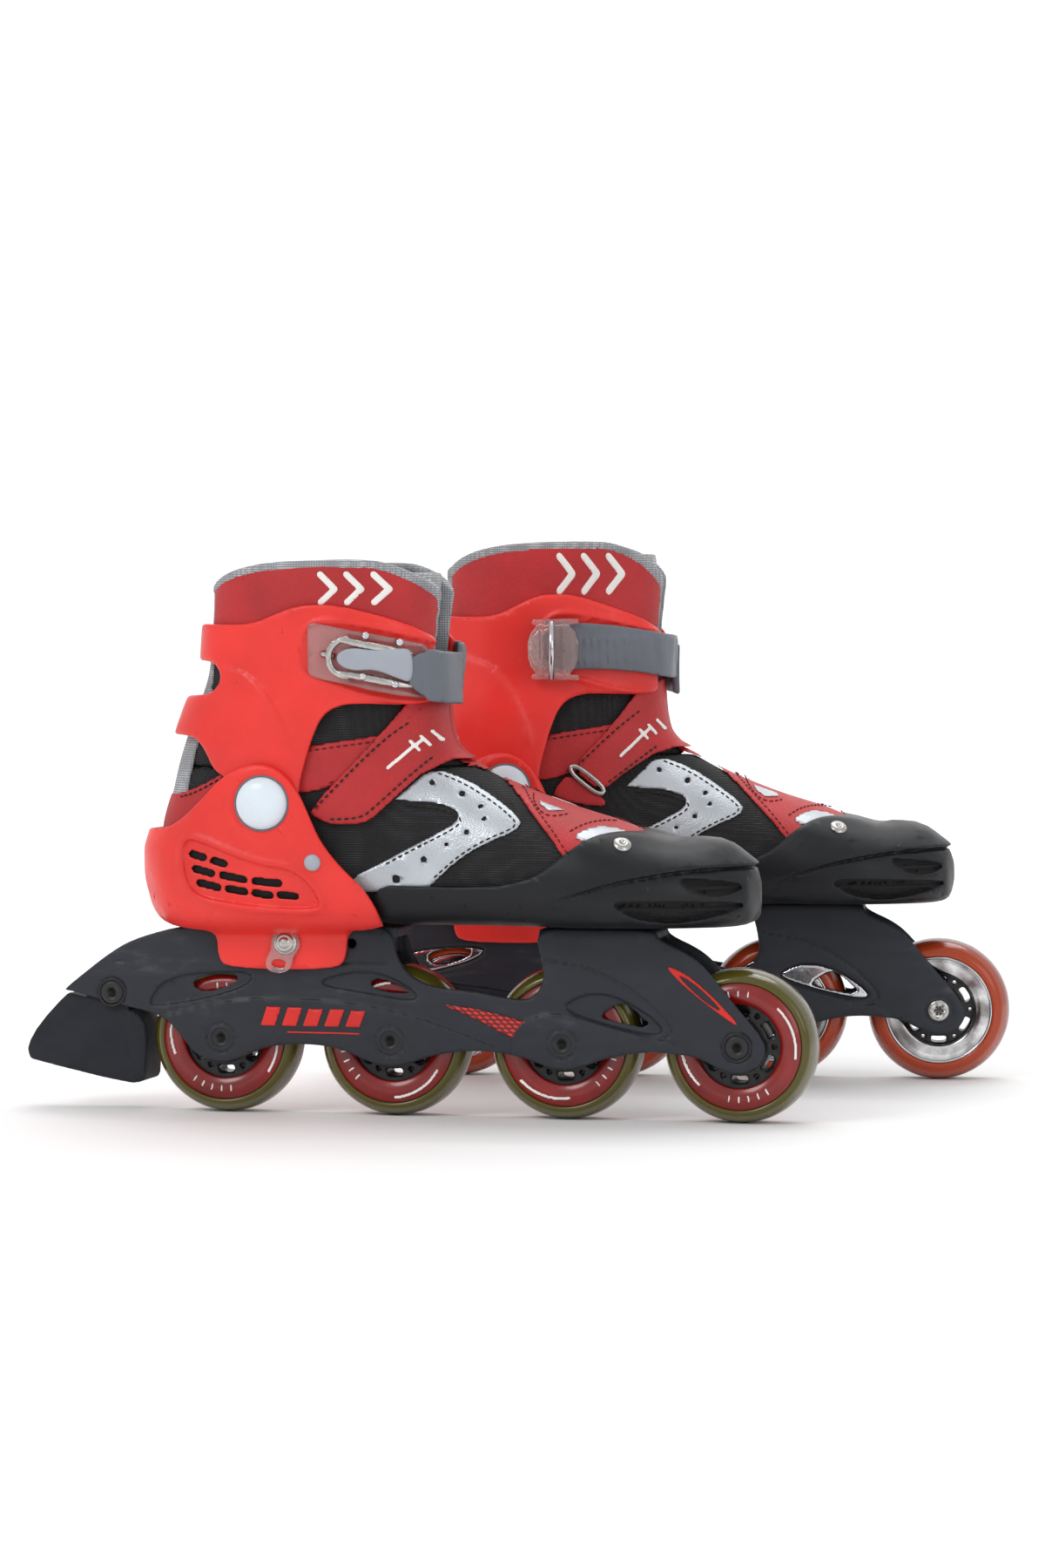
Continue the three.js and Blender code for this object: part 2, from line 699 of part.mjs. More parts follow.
// Two bearings held apart by their spacer.
function bearingGeometry() {
  const bore = BEARING_BORE / 2;
  const race = BEARING_OUTER / 2;
  const outside = HUB_WIDTH / 2 + BEARING_PROUD;
  const inside = outside - BEARING_WIDTH;
  return turned(
    [
      [bore, -outside],
      [race, -outside],
      [race, -inside],
      [SPACER_DIAMETER / 2, -inside],
      [SPACER_DIAMETER / 2, inside],
      [race, inside],
      [race, outside],
      [bore, outside],
    ],
    SMALL_SIDES,
  );
}

// ---------------------------------------------------------------- the pair

function named(name, shape, material) {
  const geometry = shape.isBufferGeometry ? shape : geometryOf(shape);
  const mesh = new THREE.Mesh(geometry, material);
  mesh.name = name;
  return mesh;
}

function wheel(side, number) {
  const group = new THREE.Group();
  const piece = (name, geometry, material) =>
    group.add(named(`${side}_wheel_${number}_${name}`, geometry, material));
  piece("tyre", tyreGeometry(), MATERIALS.tyre);
  piece("hub", hubGeometry(), MATERIALS.black);
  piece("bearings", bearingGeometry(), MATERIALS.steel);
  const axle = new THREE.LatheGeometry(crossBolt(AXLE_DIAMETER, AXLE_HEAD_DIAMETER), SMALL_SIDES);
  group.add(named(`${side}_axle_${number}`, axle, MATERIALS.steel));
  return group;
}

function skate(side, upper, hasBrake) {
  const group = new THREE.Group();
  const boot = new THREE.Group();
  boot.position.z = DECK_TOP;
  group.add(boot);
  const add = (name, shape, material) => boot.add(named(`${side}_${name}`, shape, material));
  group.add(named(`${side}_frame`, frame(), MATERIALS.frame));
  add("toe_shell", toeShell(), MATERIALS.black);
  add("heel_shell", heelShell(upper), MATERIALS.red);
  add("cuff", cuff(upper), MATERIALS.red);
  add("soft_boot", softBoot(upper), MATERIALS.darkRed);
  add("ankle_rivet_outer", ankleRivet(-1), MATERIALS.white);
  add("ankle_rivet_inner", ankleRivet(1), MATERIALS.white);
  add("buckle_base", buckleBase(upper), MATERIALS.clear);
  add("buckle_lever", buckleLever(upper), MATERIALS.clear);
  add("ladder_strap", ladderStrap(upper), MATERIALS.grey);
  add("strap_clamp", strapClamp(upper), MATERIALS.clear);
  add("instep_strap", instepStrap(upper), MATERIALS.darkRed);
  add("size_lock", sizeLock(), MATERIALS.steel);
  AXLE_X.forEach((x, i) => {
    const placed = wheel(side, i + 1);
    placed.position.set(x, 0, AXLE_HEIGHT);
    group.add(placed);
  });
  if (hasBrake) {
    group.add(named(`${side}_brake_pad`, brakePad(), MATERIALS.rubber));
    const bolt = new THREE.LatheGeometry(crossBolt(BRAKE_BOLT_DIAMETER, AXLE_HEAD_DIAMETER - 1), SMALL_SIDES);
    const mesh = named(`${side}_brake_bolt`, bolt, MATERIALS.steel);
    mesh.position.set(BRAKE_BOLT.x, 0, BRAKE_BOLT.z);
    group.add(mesh);
  }
  return group;
}

const pair = new THREE.Group();
const right = skate("right", RIGHT_UPPER, true);
const left = skate("left", LEFT_UPPER, false);
left.scale.y = -1;
left.rotation.z = THREE.MathUtils.degToRad(LEFT_SKATE.turn);
left.position.set(LEFT_SKATE.x, LEFT_SKATE.y, 0);
pair.add(right, left);

// The part's origin is on the floor, under the middle of the pair's box.
const box = new THREE.Box3().setFromObject(pair, true);
for (const one of [right, left]) {
  one.position.x -= (box.min.x + box.max.x) / 2;
  one.position.y -= (box.min.y + box.max.y) / 2;
  one.position.z -= box.min.z;
}

export default pair;
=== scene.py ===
# A pair of adjustable inline skates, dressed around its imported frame.
# Shapes are worked out in millimetres in the right skate's own frame (x forward, z up from the
# floor, lateral side -y, origin midway between wheels 2 and 3), then placed on both skates.
# The left skate is the mirror image. Moulded and sewn pieces are distance fields that are
# turned into meshes: "body" is the distance from the soft boot's surface, and a shell, panel
# or strap is the layer between two distances, inside a side outline.
import math

import bpy
import numpy as np
import openvdb
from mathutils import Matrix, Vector


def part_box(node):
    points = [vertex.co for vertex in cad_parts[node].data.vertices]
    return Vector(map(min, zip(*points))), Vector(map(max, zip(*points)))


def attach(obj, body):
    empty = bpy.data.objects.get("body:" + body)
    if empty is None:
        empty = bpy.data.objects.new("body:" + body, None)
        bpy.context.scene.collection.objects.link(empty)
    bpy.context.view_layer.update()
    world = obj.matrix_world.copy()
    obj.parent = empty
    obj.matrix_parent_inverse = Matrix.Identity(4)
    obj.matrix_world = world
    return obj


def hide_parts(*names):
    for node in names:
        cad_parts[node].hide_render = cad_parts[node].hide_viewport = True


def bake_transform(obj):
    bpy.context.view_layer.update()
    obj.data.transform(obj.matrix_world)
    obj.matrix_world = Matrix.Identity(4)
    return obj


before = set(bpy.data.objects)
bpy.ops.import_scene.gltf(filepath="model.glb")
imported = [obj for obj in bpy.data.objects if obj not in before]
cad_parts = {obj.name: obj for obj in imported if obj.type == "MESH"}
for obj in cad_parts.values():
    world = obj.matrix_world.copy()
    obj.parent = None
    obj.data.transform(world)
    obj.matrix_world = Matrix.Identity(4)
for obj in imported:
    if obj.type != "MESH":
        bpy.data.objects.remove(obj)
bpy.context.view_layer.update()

# ---------------------------------------------------------------- the two skates

ANKLE_X, ANKLE_HEIGHT = -92.0, 144.0
AXLES = [-120, -40, 40, 120]
AXLE_HEIGHT = 35
RAIL_INNER, RAIL_OUTER = 13.2, 16.0
TAIL_BOLT = (-172.5, 55)  # the brake's bolt: x and height
SIZE_LOCK = (-88, 79.5)  # the size lock's knob: x and height
RIM_FROM, RIM_RISE = 225, 25  # the worn-in upper's collar rises over this stretch of height


def corners(node):
    low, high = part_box(node)
    return np.array(low) * 1000, np.array(high) * 1000


def centre(node):
    low, high = corners(node)
    return (low + high) / 2


def ease(t):
    t = np.clip(t, 0, 1)
    return t * t * (3 - 2 * t)


class Skate:
    """Where one skate stands, from its packed axles, and how its upper is stretched."""

    def __init__(self, name, hand):
        self.name, self.hand = name, hand
        axles = [centre(f"{name}_axle_{i}") for i in range(1, 5)]
        self.origin = (axles[1] + axles[2]) / 2 * [1, 1, 0]
        forward = (axles[3] - axles[0]) * [1, 1, 0]
        self.forward = forward / np.linalg.norm(forward)
        self.leftward = np.array([-self.forward[1], self.forward[0], 0.0])
        ankle = centre(f"{name}_ankle_rivet_outer")[2]
        rise = [corners(f"{s}_cuff")[1][2] - ankle for s in (name, "right")]
        self.stretch = rise[0] / rise[1]
        top = [corners(f"{s}_soft_boot")[1][2] - ankle for s in (name, "right")]
        self.rim_lift = top[0] - top[1] * self.stretch

    def place(self, points):
        """Points of the right skate's frame, in mm, as row frame points in metres."""
        p = np.array(points, float).reshape(-1, 3)
        above = np.maximum(p[:, 2] - ANKLE_HEIGHT, 0)
        z = p[:, 2] + above * (self.stretch - 1)
        z = z + self.rim_lift * ease((p[:, 2] - RIM_FROM) / RIM_RISE)
        spot = self.origin + np.outer(p[:, 0], self.forward)
        spot = spot + np.outer(p[:, 1] * self.hand, self.leftward)
        spot[:, 2] += z
        return spot / 1000


SKATES = [Skate("right", 1), Skate("left", -1)]

# ---------------------------------------------------------------- camera, light and floor

CAMERA_FROM = np.array([448.6, -1949.1, 214.1])  # mm from the right skate's middle, on the floor
CAMERA_DROP, CAMERA_TURN = 1.78, 12.45  # degrees below level, and round the upright axis
CAMERA_LENS = 100.66
TARGET = (0, 0, 0.12)


def aim_camera():
    camera = bpy.data.objects.new("camera", bpy.data.cameras.new("camera"))
    bpy.context.scene.collection.objects.link(camera)
    bpy.context.scene.camera = camera
    camera.location = (SKATES[0].origin + CAMERA_FROM) / 1000
    camera.rotation_euler = (math.radians(90 - CAMERA_DROP), 0, math.radians(CAMERA_TURN))
    camera.data.lens = CAMERA_LENS
    camera.data.sensor_width = 36
    camera.data.clip_start, camera.data.clip_end = 0.05, 50


def area_light(name, spot, target, size, watts):
    light = bpy.data.lights.new(name, "AREA")
    light.shape = "RECTANGLE"
    light.size, light.size_y = size
    light.energy = watts
    lamp = bpy.data.objects.new(name, light)
    bpy.context.scene.collection.objects.link(lamp)
    lamp.location = spot
    lamp.rotation_euler = (Vector(target) - Vector(spot)).to_track_quat("-Z", "Y").to_euler()


def studio():
    """White surroundings, soft lights, and a pale floor that curves up into a wall."""
    world = bpy.data.worlds.new("studio")
    bpy.context.scene.world = world
    world.use_nodes = True
    background = world.node_tree.nodes["Background"]
    background.inputs["Color"].default_value = (1, 1, 1, 1)
    background.inputs["Strength"].default_value = 0.72
    area_light("key", (-1.1, -1.9, 1.7), TARGET, (1.0, 0.8), 17)
    area_light("fill", (1.8, -1.5, 0.9), TARGET, (1.0, 1.0), 5)
    area_light("top", (0.1, 0.3, 2.1), (0, 0, 0.1), (1.4, 1.0), 8)
    area_light("wall", (0, 1.6, 3.2), (0, 3.4, 1.2), (3.0, 1.0), 60)
    bpy.context.scene.view_settings.view_transform = "Standard"
    flat, bend, half_width = 2.2, 1.4, 9.0  # where the floor ends, and the curve's radius
    sweep = [(-6.0, 0.0), (flat, 0.0)]
    for t in np.linspace(0, math.pi / 2, 25)[1:]:
        sweep.append((flat + bend * math.sin(t), bend - bend * math.cos(t)))
    sweep.append((flat + bend, 7.0))
    mesh = bpy.data.meshes.new("floor")
    points = [(x, y, z) for y, z in sweep for x in (-half_width, half_width)]
    strips = [(2 * i, 2 * i + 1, 2 * i + 3, 2 * i + 2) for i in range(len(sweep) - 1)]
    mesh.from_pydata(points, [], strips)
    mesh.polygons.foreach_set("use_smooth", np.ones(len(mesh.polygons), bool))
    floor = bpy.data.objects.new("floor", mesh)
    bpy.context.scene.collection.objects.link(floor)
    paint = bpy.data.materials.new("floor")
    paint.use_nodes = True
    shader = paint.node_tree.nodes["Principled BSDF"]
    shader.inputs["Base Color"].default_value = (0.93, 0.93, 0.93, 1)
    shader.inputs["Roughness"].default_value = 0.7
    floor.data.materials.append(paint)


# ---------------------------------------------------------------- materials


def linear(*srgb):
    """A colour given in 0-255 as linear values with alpha."""
    c = np.array(srgb[:3]) / 255
    return tuple(np.where(c <= 0.04045, c / 12.92, ((c + 0.055) / 1.055) ** 2.4)) + (1.0,)


class Paint:
    """A node material that is put together from a few helpers."""

    def __init__(self, name, roughness=0.5, metallic=0.0, **sockets):
        self.material = bpy.data.materials.new(name)
        self.material.use_nodes = True
        self.tree = self.material.node_tree
        self.shader = self.tree.nodes["Principled BSDF"]
        self.shader.inputs["Roughness"].default_value = roughness
        self.shader.inputs["Metallic"].default_value = metallic
        for socket, value in sockets.items():
            self.shader.inputs[socket.replace("_", " ")].default_value = value
        self.place = self.node("ShaderNodeTexCoord").outputs["Object"]

    def node(self, kind, **settings):
        made = self.tree.nodes.new(kind)
        for key, value in settings.items():
            setattr(made, key, value)
        return made

    def link(self, source, target):
        self.tree.links.new(source, target)

    def stretched(self, scale):
        mapping = self.node("ShaderNodeMapping")
        self.link(self.place, mapping.inputs["Vector"])
        mapping.inputs["Scale"].default_value = scale
        return mapping.outputs["Vector"]

    def noise(self, scale, detail=3.0, vector=None):
        made = self.node("ShaderNodeTexNoise")
        made.inputs["Scale"].default_value = scale
        made.inputs["Detail"].default_value = detail
        self.link(vector or self.place, made.inputs["Vector"])
        return made.outputs["Fac"]

    def cells(self, scale, feature="F1"):
        made = self.node("ShaderNodeTexVoronoi", feature=feature)
        made.inputs["Scale"].default_value = scale
        self.link(self.place, made.inputs["Vector"])
        return made.outputs["Distance"]

    def bands(self, period, direction="X", distortion=0.0, profile="SIN"):
        """Stripes of that period in metres, from 0 to 1."""
        made = self.node("ShaderNodeTexWave", bands_direction=direction, wave_profile=profile)
        made.inputs["Scale"].default_value = math.tau / 20 / period
        made.inputs["Distortion"].default_value = distortion
        self.link(self.place, made.inputs["Vector"])
        return made.outputs["Fac"]

    def math(self, operation, a, b):
        made = self.node("ShaderNodeMath", operation=operation)
        for socket, value in zip(made.inputs, (a, b)):
            if isinstance(value, (int, float)):
                socket.default_value = value
            else:
                self.link(value, socket)
        return made.outputs["Value"]

    def ramp(self, factor, stops):
        made = self.node("ShaderNodeValToRGB")
        elements = made.color_ramp.elements
        while len(elements) < len(stops):
            elements.new(0.5)
        for element, (position, colour) in zip(elements, stops):
            element.position = position
            grey = isinstance(colour, (int, float))
            element.color = (colour, colour, colour, 1) if grey else colour
        self.link(factor, made.inputs["Fac"])
        return made.outputs["Color"]

    def attribute(self, name):
        return self.node("ShaderNodeAttribute", attribute_name=name).outputs["Fac"]

    def colour(self, source):
        if isinstance(source, tuple):
            self.shader.inputs["Base Color"].default_value = source
        else:
            self.link(source, self.shader.inputs["Base Color"])
        return self

    def rough(self, source):
        self.link(source, self.shader.inputs["Roughness"])
        return self

    def bump(self, height, strength, distance=0.0003):
        made = self.node("ShaderNodeBump")
        made.inputs["Strength"].default_value = strength
        made.inputs["Distance"].default_value = distance
        self.link(height, made.inputs["Height"])
        self.link(made.outputs["Normal"], self.shader.inputs["Normal"])
        return self


def shade(colour, factor):
    """The colour, lighter or darker."""
    return tuple(min(1.0, c * factor) for c in colour[:3]) + (1.0,)


def moulded(name, colour, roughness, scuff=0.0, grain=0.12, specular=0.4):
    """Moulded plastic: fine spark-eroded grain, patchy gloss, and pale scuffs where scuff > 0."""
    paint = Paint(name, roughness, Specular_IOR_Level=specular)
    patches = paint.noise(28, 4)
    stops = [(0.30, shade(colour, 0.86)), (0.70, shade(colour, 1.08))]
    if scuff:
        rubbed = paint.noise(70, 6, paint.stretched((0.6, 1, 1.9)))
        mixed = paint.math("MULTIPLY", rubbed, paint.noise(19, 3))
        worn = tuple(c + scuff for c in colour[:3]) + (1.0,)
        stops = [(0.20, shade(colour, 0.9)), (0.30, colour), (0.36, shade(colour, 1.15)), (0.46, worn)]
        patches = mixed
    paint.colour(paint.ramp(patches, stops))
    paint.rough(paint.ramp(paint.noise(60, 5), [(0.3, roughness - 0.06), (0.7, roughness + 0.09)]))
    return paint.bump(paint.noise(1500, 2), grain, 0.0002).material


def leatherette(name, colour, roughness=0.55, metallic=0.0):
    """Coated cloth with a fine pebble grain and soft creases."""
    paint = Paint(name, roughness, metallic)
    tones = [(0.25, shade(colour, 0.82)), (0.72, shade(colour, 1.12))]
    paint.colour(paint.ramp(paint.noise(45, 5), tones))
    pebbles = paint.cells(1150)
    creases = paint.noise(130, 4)
    paint.rough(paint.ramp(pebbles, [(0.1, roughness + 0.1), (0.8, roughness - 0.06)]))
    return paint.bump(paint.math("ADD", pebbles, creases), 0.45, 0.00025).material


def woven(name, colour, light, period, depth=0.6, roughness=0.85):
    """Cloth with threads both ways; light is the colour of the raised threads, and the low places between
    them are painted darker as shade.
    """
    paint = Paint(name, roughness)
    across = paint.math("MAXIMUM", paint.bands(period, "X"), paint.bands(period, "Y"))
    threads = paint.math("MULTIPLY", across, paint.bands(period * 0.9, "Z"))
    patchy = paint.math("MULTIPLY", threads, paint.noise(90, 3))
    # Painted shade: the cloth is darker where the threads are low and lighter on their crests
    paint.colour(paint.ramp(patchy, [(0.12, colour), (0.62, light)]))
    return paint.bump(threads, depth, 0.0005).material


def polished(name, colour, roughness):
    """Bare or plated metal with light brushing."""
    paint = Paint(name, roughness, 1.0)
    paint.colour(paint.ramp(paint.noise(220, 3), [(0.3, shade(colour, 0.8)), (0.7, colour)]))
    brushed = paint.noise(900, 2, paint.stretched((1, 0.1, 1)))
    paint.rough(paint.ramp(brushed, [(0.3, roughness * 0.7), (0.7, roughness * 1.6)]))
    return paint.bump(brushed, 0.05, 0.0001).material


def clear(name, tint, roughness=0.1, depth=0.85):
    """See-through moulded plastic with a faint haze."""
    paint = Paint(name, roughness, IOR=1.49, Transmission_Weight=depth)
    paint.colour(paint.ramp(paint.noise(80, 3), [(0.3, shade(tint, 0.9)), (0.7, tint)]))
    paint.rough(paint.ramp(paint.noise(300, 4), [(0.3, roughness * 0.5), (0.7, roughness * 1.8)]))
    return paint.material


def urethane():
    """Cast tyre: olive on the lateral side and orange on the inner side, with a worn tread; its colour is
    painted darkest across the middle of the tread and lighter towards both faces, as light shining
    through the thin edges.
    """
    paint = Paint("urethane", 0.2, Transmission_Weight=0.08, IOR=1.48, Subsurface_Weight=0.2)
    paint.shader.inputs["Subsurface Radius"].default_value = (0.004, 0.002, 0.001)
    paint.shader.inputs["Subsurface Scale"].default_value = 0.6
    side = paint.attribute("across")
    # Olive and orange are the tyre's own colours; darkest mid-tread and lighter towards the faces is
    # painted light shining through the edges
    body = [(0.0, linear(84, 78, 20)), (0.34, linear(74, 66, 18)), (0.5, linear(52, 44, 18)),
            (0.68, linear(130, 44, 18)), (1.0, linear(176, 64, 26))]
    paint.colour(paint.ramp(side, body))
    paint.rough(paint.ramp(paint.noise(160, 6), [(0.35, 0.12), (0.75, 0.28)]))
    return paint.bump(paint.noise(500, 4), 0.06, 0.0002).material


def foil():
    """Plated ring seen through a clear moulding, with painted reflections: dark, pale and reddish streaks
    from the middle outwards in its colour.
    """
    paint = Paint("foil_ring", 0.16, 1.0, Coat_Weight=0.8)
    painted_reflections = paint.noise(34, 5, paint.stretched((1, 0.4, 1)))
    # Painted reflections: dark, pale and reddish streaks in the plating's colour
    tones = [(0.34, linear(52, 44, 44)), (0.47, linear(150, 146, 146)),
             (0.56, linear(226, 226, 228)), (0.7, linear(96, 78, 76))]
    paint.colour(paint.ramp(painted_reflections, tones))
    return paint.bump(paint.noise(240, 3), 0.12, 0.0002).material


def red_label():
    """Printed ring under the tyre's clear skin."""
    paint = Paint("label_ring", 0.26, Coat_Weight=0.25)
    tones = [(0.3, linear(104, 10, 8)), (0.7, linear(140, 18, 14))]
    paint.colour(paint.ramp(paint.noise(50, 3), tones))
    return paint.bump(paint.noise(400, 3), 0.04, 0.0001).material


def hatch_red():
    """Red insert with a fine diamond hatch."""
    paint = Paint("hatch_red", 0.35)
    lines = paint.math("MULTIPLY", paint.bands(0.0016, "DIAGONAL"), paint.bands(0.0019, "Z"))
    paint.colour(paint.ramp(lines, [(0.15, linear(110, 14, 14)), (0.6, linear(232, 52, 44))]))
    return paint.bump(lines, 0.6, 0.0004).material


RED = linear(232, 52, 46)
DARK_RED = linear(178, 30, 34)
MATERIALS = {
    "frame": moulded("frame_plastic", linear(41, 44, 51), 0.46, 0.045, specular=0.32),
    "black": moulded("black_plastic", linear(22, 24, 28), 0.42, 0.035, specular=0.3),
    "red": moulded("red_plastic", RED, 0.36, grain=0.06),
    "leather": leatherette("upper_leatherette", DARK_RED),
    "mesh": woven("mesh_fabric", linear(12, 12, 14), linear(52, 52, 56), 0.0012),
    "binding": woven("binding_fabric", linear(132, 134, 138), linear(214, 216, 220), 0.0012, 0.5),
    "tongue": woven("tongue_fabric", linear(150, 150, 152), linear(226, 226, 228), 0.0014, 0.5),
    "silver": leatherette("silver_vinyl", linear(186, 192, 198), 0.34, 0.45),
    "white": moulded("white_print", linear(238, 236, 232), 0.45, grain=0.05),
    "red_print": moulded("red_print", linear(214, 40, 34), 0.4, grain=0.05),
    "pearl": moulded("pearl_plastic", linear(214, 224, 232), 0.24, grain=0.03),
    "grey_plastic": moulded("grey_plastic", linear(104, 109, 118), 0.42),
    "tongue_plastic": moulded("tongue_plastic", linear(166, 172, 182), 0.36),
    "clear": clear("clear_plastic", linear(250, 226, 224)),
    "tag": clear("tag_plastic", linear(252, 236, 234), 0.06),
    "steel": polished("bright_steel", linear(196, 194, 190), 0.2),
    "chrome": polished("chrome_trim", linear(214, 216, 220), 0.1),
    "black_steel": moulded("black_steel", linear(34, 34, 36), 0.36, grain=0.04),
    "tyre": urethane(),
    "label": red_label(),
    "hatch": hatch_red(),
    "hub": moulded("hub_plastic", linear(26, 26, 28), 0.3, grain=0.05),
    "foil": foil(),
    "rubber": moulded("brake_rubber", linear(32, 35, 42), 0.66, 0.02, 0.3, specular=0.3),
    "lining": woven("lining_fabric", linear(20, 20, 22), linear(54, 54, 58), 0.0018, 0.4, 0.95),
    "thread_black": woven("black_thread", linear(18, 16, 16), linear(58, 50, 50), 0.0008, 0.5),
    "thread_red": woven("red_thread", linear(96, 10, 14), linear(150, 26, 30), 0.0008, 0.5),
    # painted shade: near-black, for the inside of vents
    "hole": woven("hole_shadow", linear(8, 8, 9), linear(22, 22, 24), 0.0011, 0.3),
}

# ---------------------------------------------------------------- fields and meshes


class Grid:
    """A box of equally spaced points, in mm."""

    def __init__(self, low, high, step):
        self.low, self.step = np.array(low, float), step
        count = np.ceil((np.array(high) - self.low) / step).astype(int) + 1
        self.axes = [self.low[a] + step * np.arange(count[a]) for a in range(3)]
        self.x = self.axes[0].reshape(-1, 1, 1).astype(np.float32)
        self.y = self.axes[1].reshape(1, -1, 1).astype(np.float32)
        self.z = self.axes[2].reshape(1, 1, -1).astype(np.float32)
        self.shape = tuple(count)


def fold(a, b, radius=0.0):
    """Where both fields are inside, with the edge between them rounded."""
    edge = np.maximum(a, b)
    if not radius:
        return edge
    return edge + np.maximum(radius - np.abs(a - b), 0) ** 2 / (4 * radius)


def merge(a, b, radius=0.0):
    """Where either field is inside, with the corner between them filled."""
    return -fold(-a, -b, radius)


def layer(distance, inner, outer):
    """What lies between two distances from a surface."""
    return np.maximum(inner - distance, distance - outer)


def rounded(points, rounds=2, closed=True):
    """A point chain with its corners cut, round after round."""
    p = np.array(points, float)
    for _ in range(rounds):
        q = np.roll(p, -1, 0)
        cut = np.stack([p * 0.75 + q * 0.25, p * 0.25 + q * 0.75], 1).reshape(-1, 2)
        p = cut if closed else np.vstack([p[:1], cut[:-2], p[-1:]])
    return p


def segment_distance(u, v, chain):
    best = np.full(np.broadcast(u, v).shape, 1e9, np.float32)
    for (au, av), (bu, bv) in zip(chain[:-1], chain[1:]):
        eu, ev = bu - au, bv - av
        t = np.clip(((u - au) * eu + (v - av) * ev) / max(eu * eu + ev * ev, 1e-9), 0, 1)
        best = np.minimum(best, (u - au - t * eu) ** 2 + (v - av - t * ev) ** 2)
    return np.sqrt(best)


def outline(grid, points, rounds=2):
    """Side outline as a field: negative inside the closed chain of [x, z] points."""
    p = rounded(points, rounds)
    u, v = grid.x[:, :, 0], grid.z[0]
    distance = segment_distance(u, v, np.vstack([p, p[:1]]))
    inside = np.zeros(distance.shape, bool)
    for (au, av), (bu, bv) in zip(p, np.roll(p, -1, 0)):
        if av != bv:
            inside ^= ((av > v) != (bv > v)) & (u < (bu - au) * (v - av) / (bv - av) + au)
    distance[inside] *= -1
    return distance[:, None, :]


def stroke(grid, points, rounds=2):
    """Distance from an open chain of [x, z] points in the side view."""
    chain = rounded(points, rounds, closed=False) if len(points) > 2 else np.array(points, float)
    return segment_distance(grid.x[:, :, 0], grid.z[0], chain)[:, None, :]


def disc(grid, x, z, radius):
    return np.sqrt((grid.x - x) ** 2 + (grid.z - z) ** 2) - radius


def raised(distance, width=1.0):
    """1 inside a field and 0 outside, with a soft edge of that width."""
    return ease(0.5 - distance / (2 * width))


def ridge(distance, at, half, width):
    """1 within half of the line at that distance and 0 beyond, with soft edges."""
    return raised(np.abs(distance - at) - half, width)


def skin(grid, field, flatness=0.12):
    """The mesh of a field's surface: points in mm and triangles, larger where it is flatter."""
    band = 3.0 * grid.step
    full = np.broadcast_to(field, grid.shape)
    values = np.clip(np.pad(full, 1, constant_values=band), -band, band).astype(np.float32)
    volume = openvdb.FloatGrid(band)
    volume.copyFromArray(values)
    points, triangles, quads = volume.convertToPolygons(isovalue=0.0, adaptivity=flatness)
    quads = np.array(quads).reshape(-1, 4)
    triangles = np.array(triangles).reshape(-1, 3)
    faces = np.vstack([triangles, quads[:, [0, 1, 2]], quads[:, [0, 2, 3]]])
    return (np.array(points, float) - 1) * grid.step + grid.low, faces


# The soft boot's shape. Foot: x, half width, underside, top, shift to the inner side.
FOOT = np.array([
    [-150, 4, 108, 120, 0],
    [-146, 13, 98, 131, 0],
    [-139, 24, 93, 140, 0],
    [-122, 31, 90.8, 146, 0],
    [-92, 34, 90.8, 152, 0],
    [-50, 35.5, 90.8, 166, 0],
    [-12, 37.5, 90.8, 164, 0.5],
    [18, 41, 90.8, 150, 1.5],
    [42, 44, 90.8, 141, 2.5],
    [64, 44, 90.8, 134, 4],
    [84, 40.5, 91, 126, 5.5],
    [101, 33, 91.5, 122, 6.5],
    [112, 25.5, 92, 119, 7],
    [118, 19, 92.8, 116.5, 7],
    [122, 12, 94, 113.5, 7],
    [124, 5, 96, 110.5, 7],
])
# Leg: height, back, front, half width.
LEG = np.array([
    [104, -146, -24, 34],
    [126, -147, -14, 36.5],
    [144, -145, -12, 37],
    [162, -141, -15, 37],
    [180, -135, -19, 36.5],
    [200, -127.5, -20, 36],
    [222, -125, -19, 37],
    [245, -124, -16, 39],
    [290, -125, -12, 42],
])
WIDEST = 0.34  # share of the foot's height where it is widest


def between(at, knots, values):
    """A smooth curve through the values at the knots."""
    slopes = np.gradient(values, knots)
    i = np.clip(np.searchsorted(knots, at) - 1, 0, len(knots) - 2)
    step = knots[i + 1] - knots[i]
    t = np.clip((at - knots[i]) / step, 0, 1)
    start = values[i] * (1 + 2 * t) * (1 - t) ** 2 + values[i + 1] * t * t * (3 - 2 * t)
    return start + step * (slopes[i] * t * (1 - t) ** 2 - slopes[i + 1] * t * t * (1 - t))


def true_distance(level, step):
    """A level divided by its slope, which is near the distance close to the surface."""
    slope = np.sqrt(sum(g * g for g in np.gradient(level, step)))
    return level / np.maximum(slope, 1e-4)


def foot_field(grid):
    x = grid.axes[0]
    rows = (between(x, FOOT[:, 0], FOOT[:, k]).reshape(-1, 1, 1) for k in range(1, 5))
    half, low, top, shift = rows
    widest = low + WIDEST * (top - low)
    across = np.abs(grid.y - shift) / np.maximum(half, 1)
    rise = grid.z - widest
    above = across ** 2.1 + np.abs(rise / (top - widest)) ** 2.2
    below = across ** 3.2 + np.abs(rise / (widest - low)) ** 3.2
    level = np.where(rise > 0, above ** 0.465, below ** 0.3125) - 1
    distance = true_distance(level.astype(np.float32), grid.step)
    return fold(fold(distance, FOOT[0, 0] - grid.x, 4), grid.x - FOOT[-1, 0], 4)


def leg_field(grid):
    z = grid.axes[2]
    rows = (between(z, LEG[:, 0], LEG[:, k]).reshape(1, 1, -1) for k in range(1, 4))
    back, front, half = rows
    along = np.abs((grid.x - (back + front) / 2) / ((front - back) / 2))
    across = np.abs(grid.y / half)
    level = (along ** 2.5 + across ** 2.5) ** 0.4 - 1
    distance = true_distance(level.astype(np.float32), grid.step)
    return fold(distance, LEG[0, 0] + 4 - grid.z, 8)


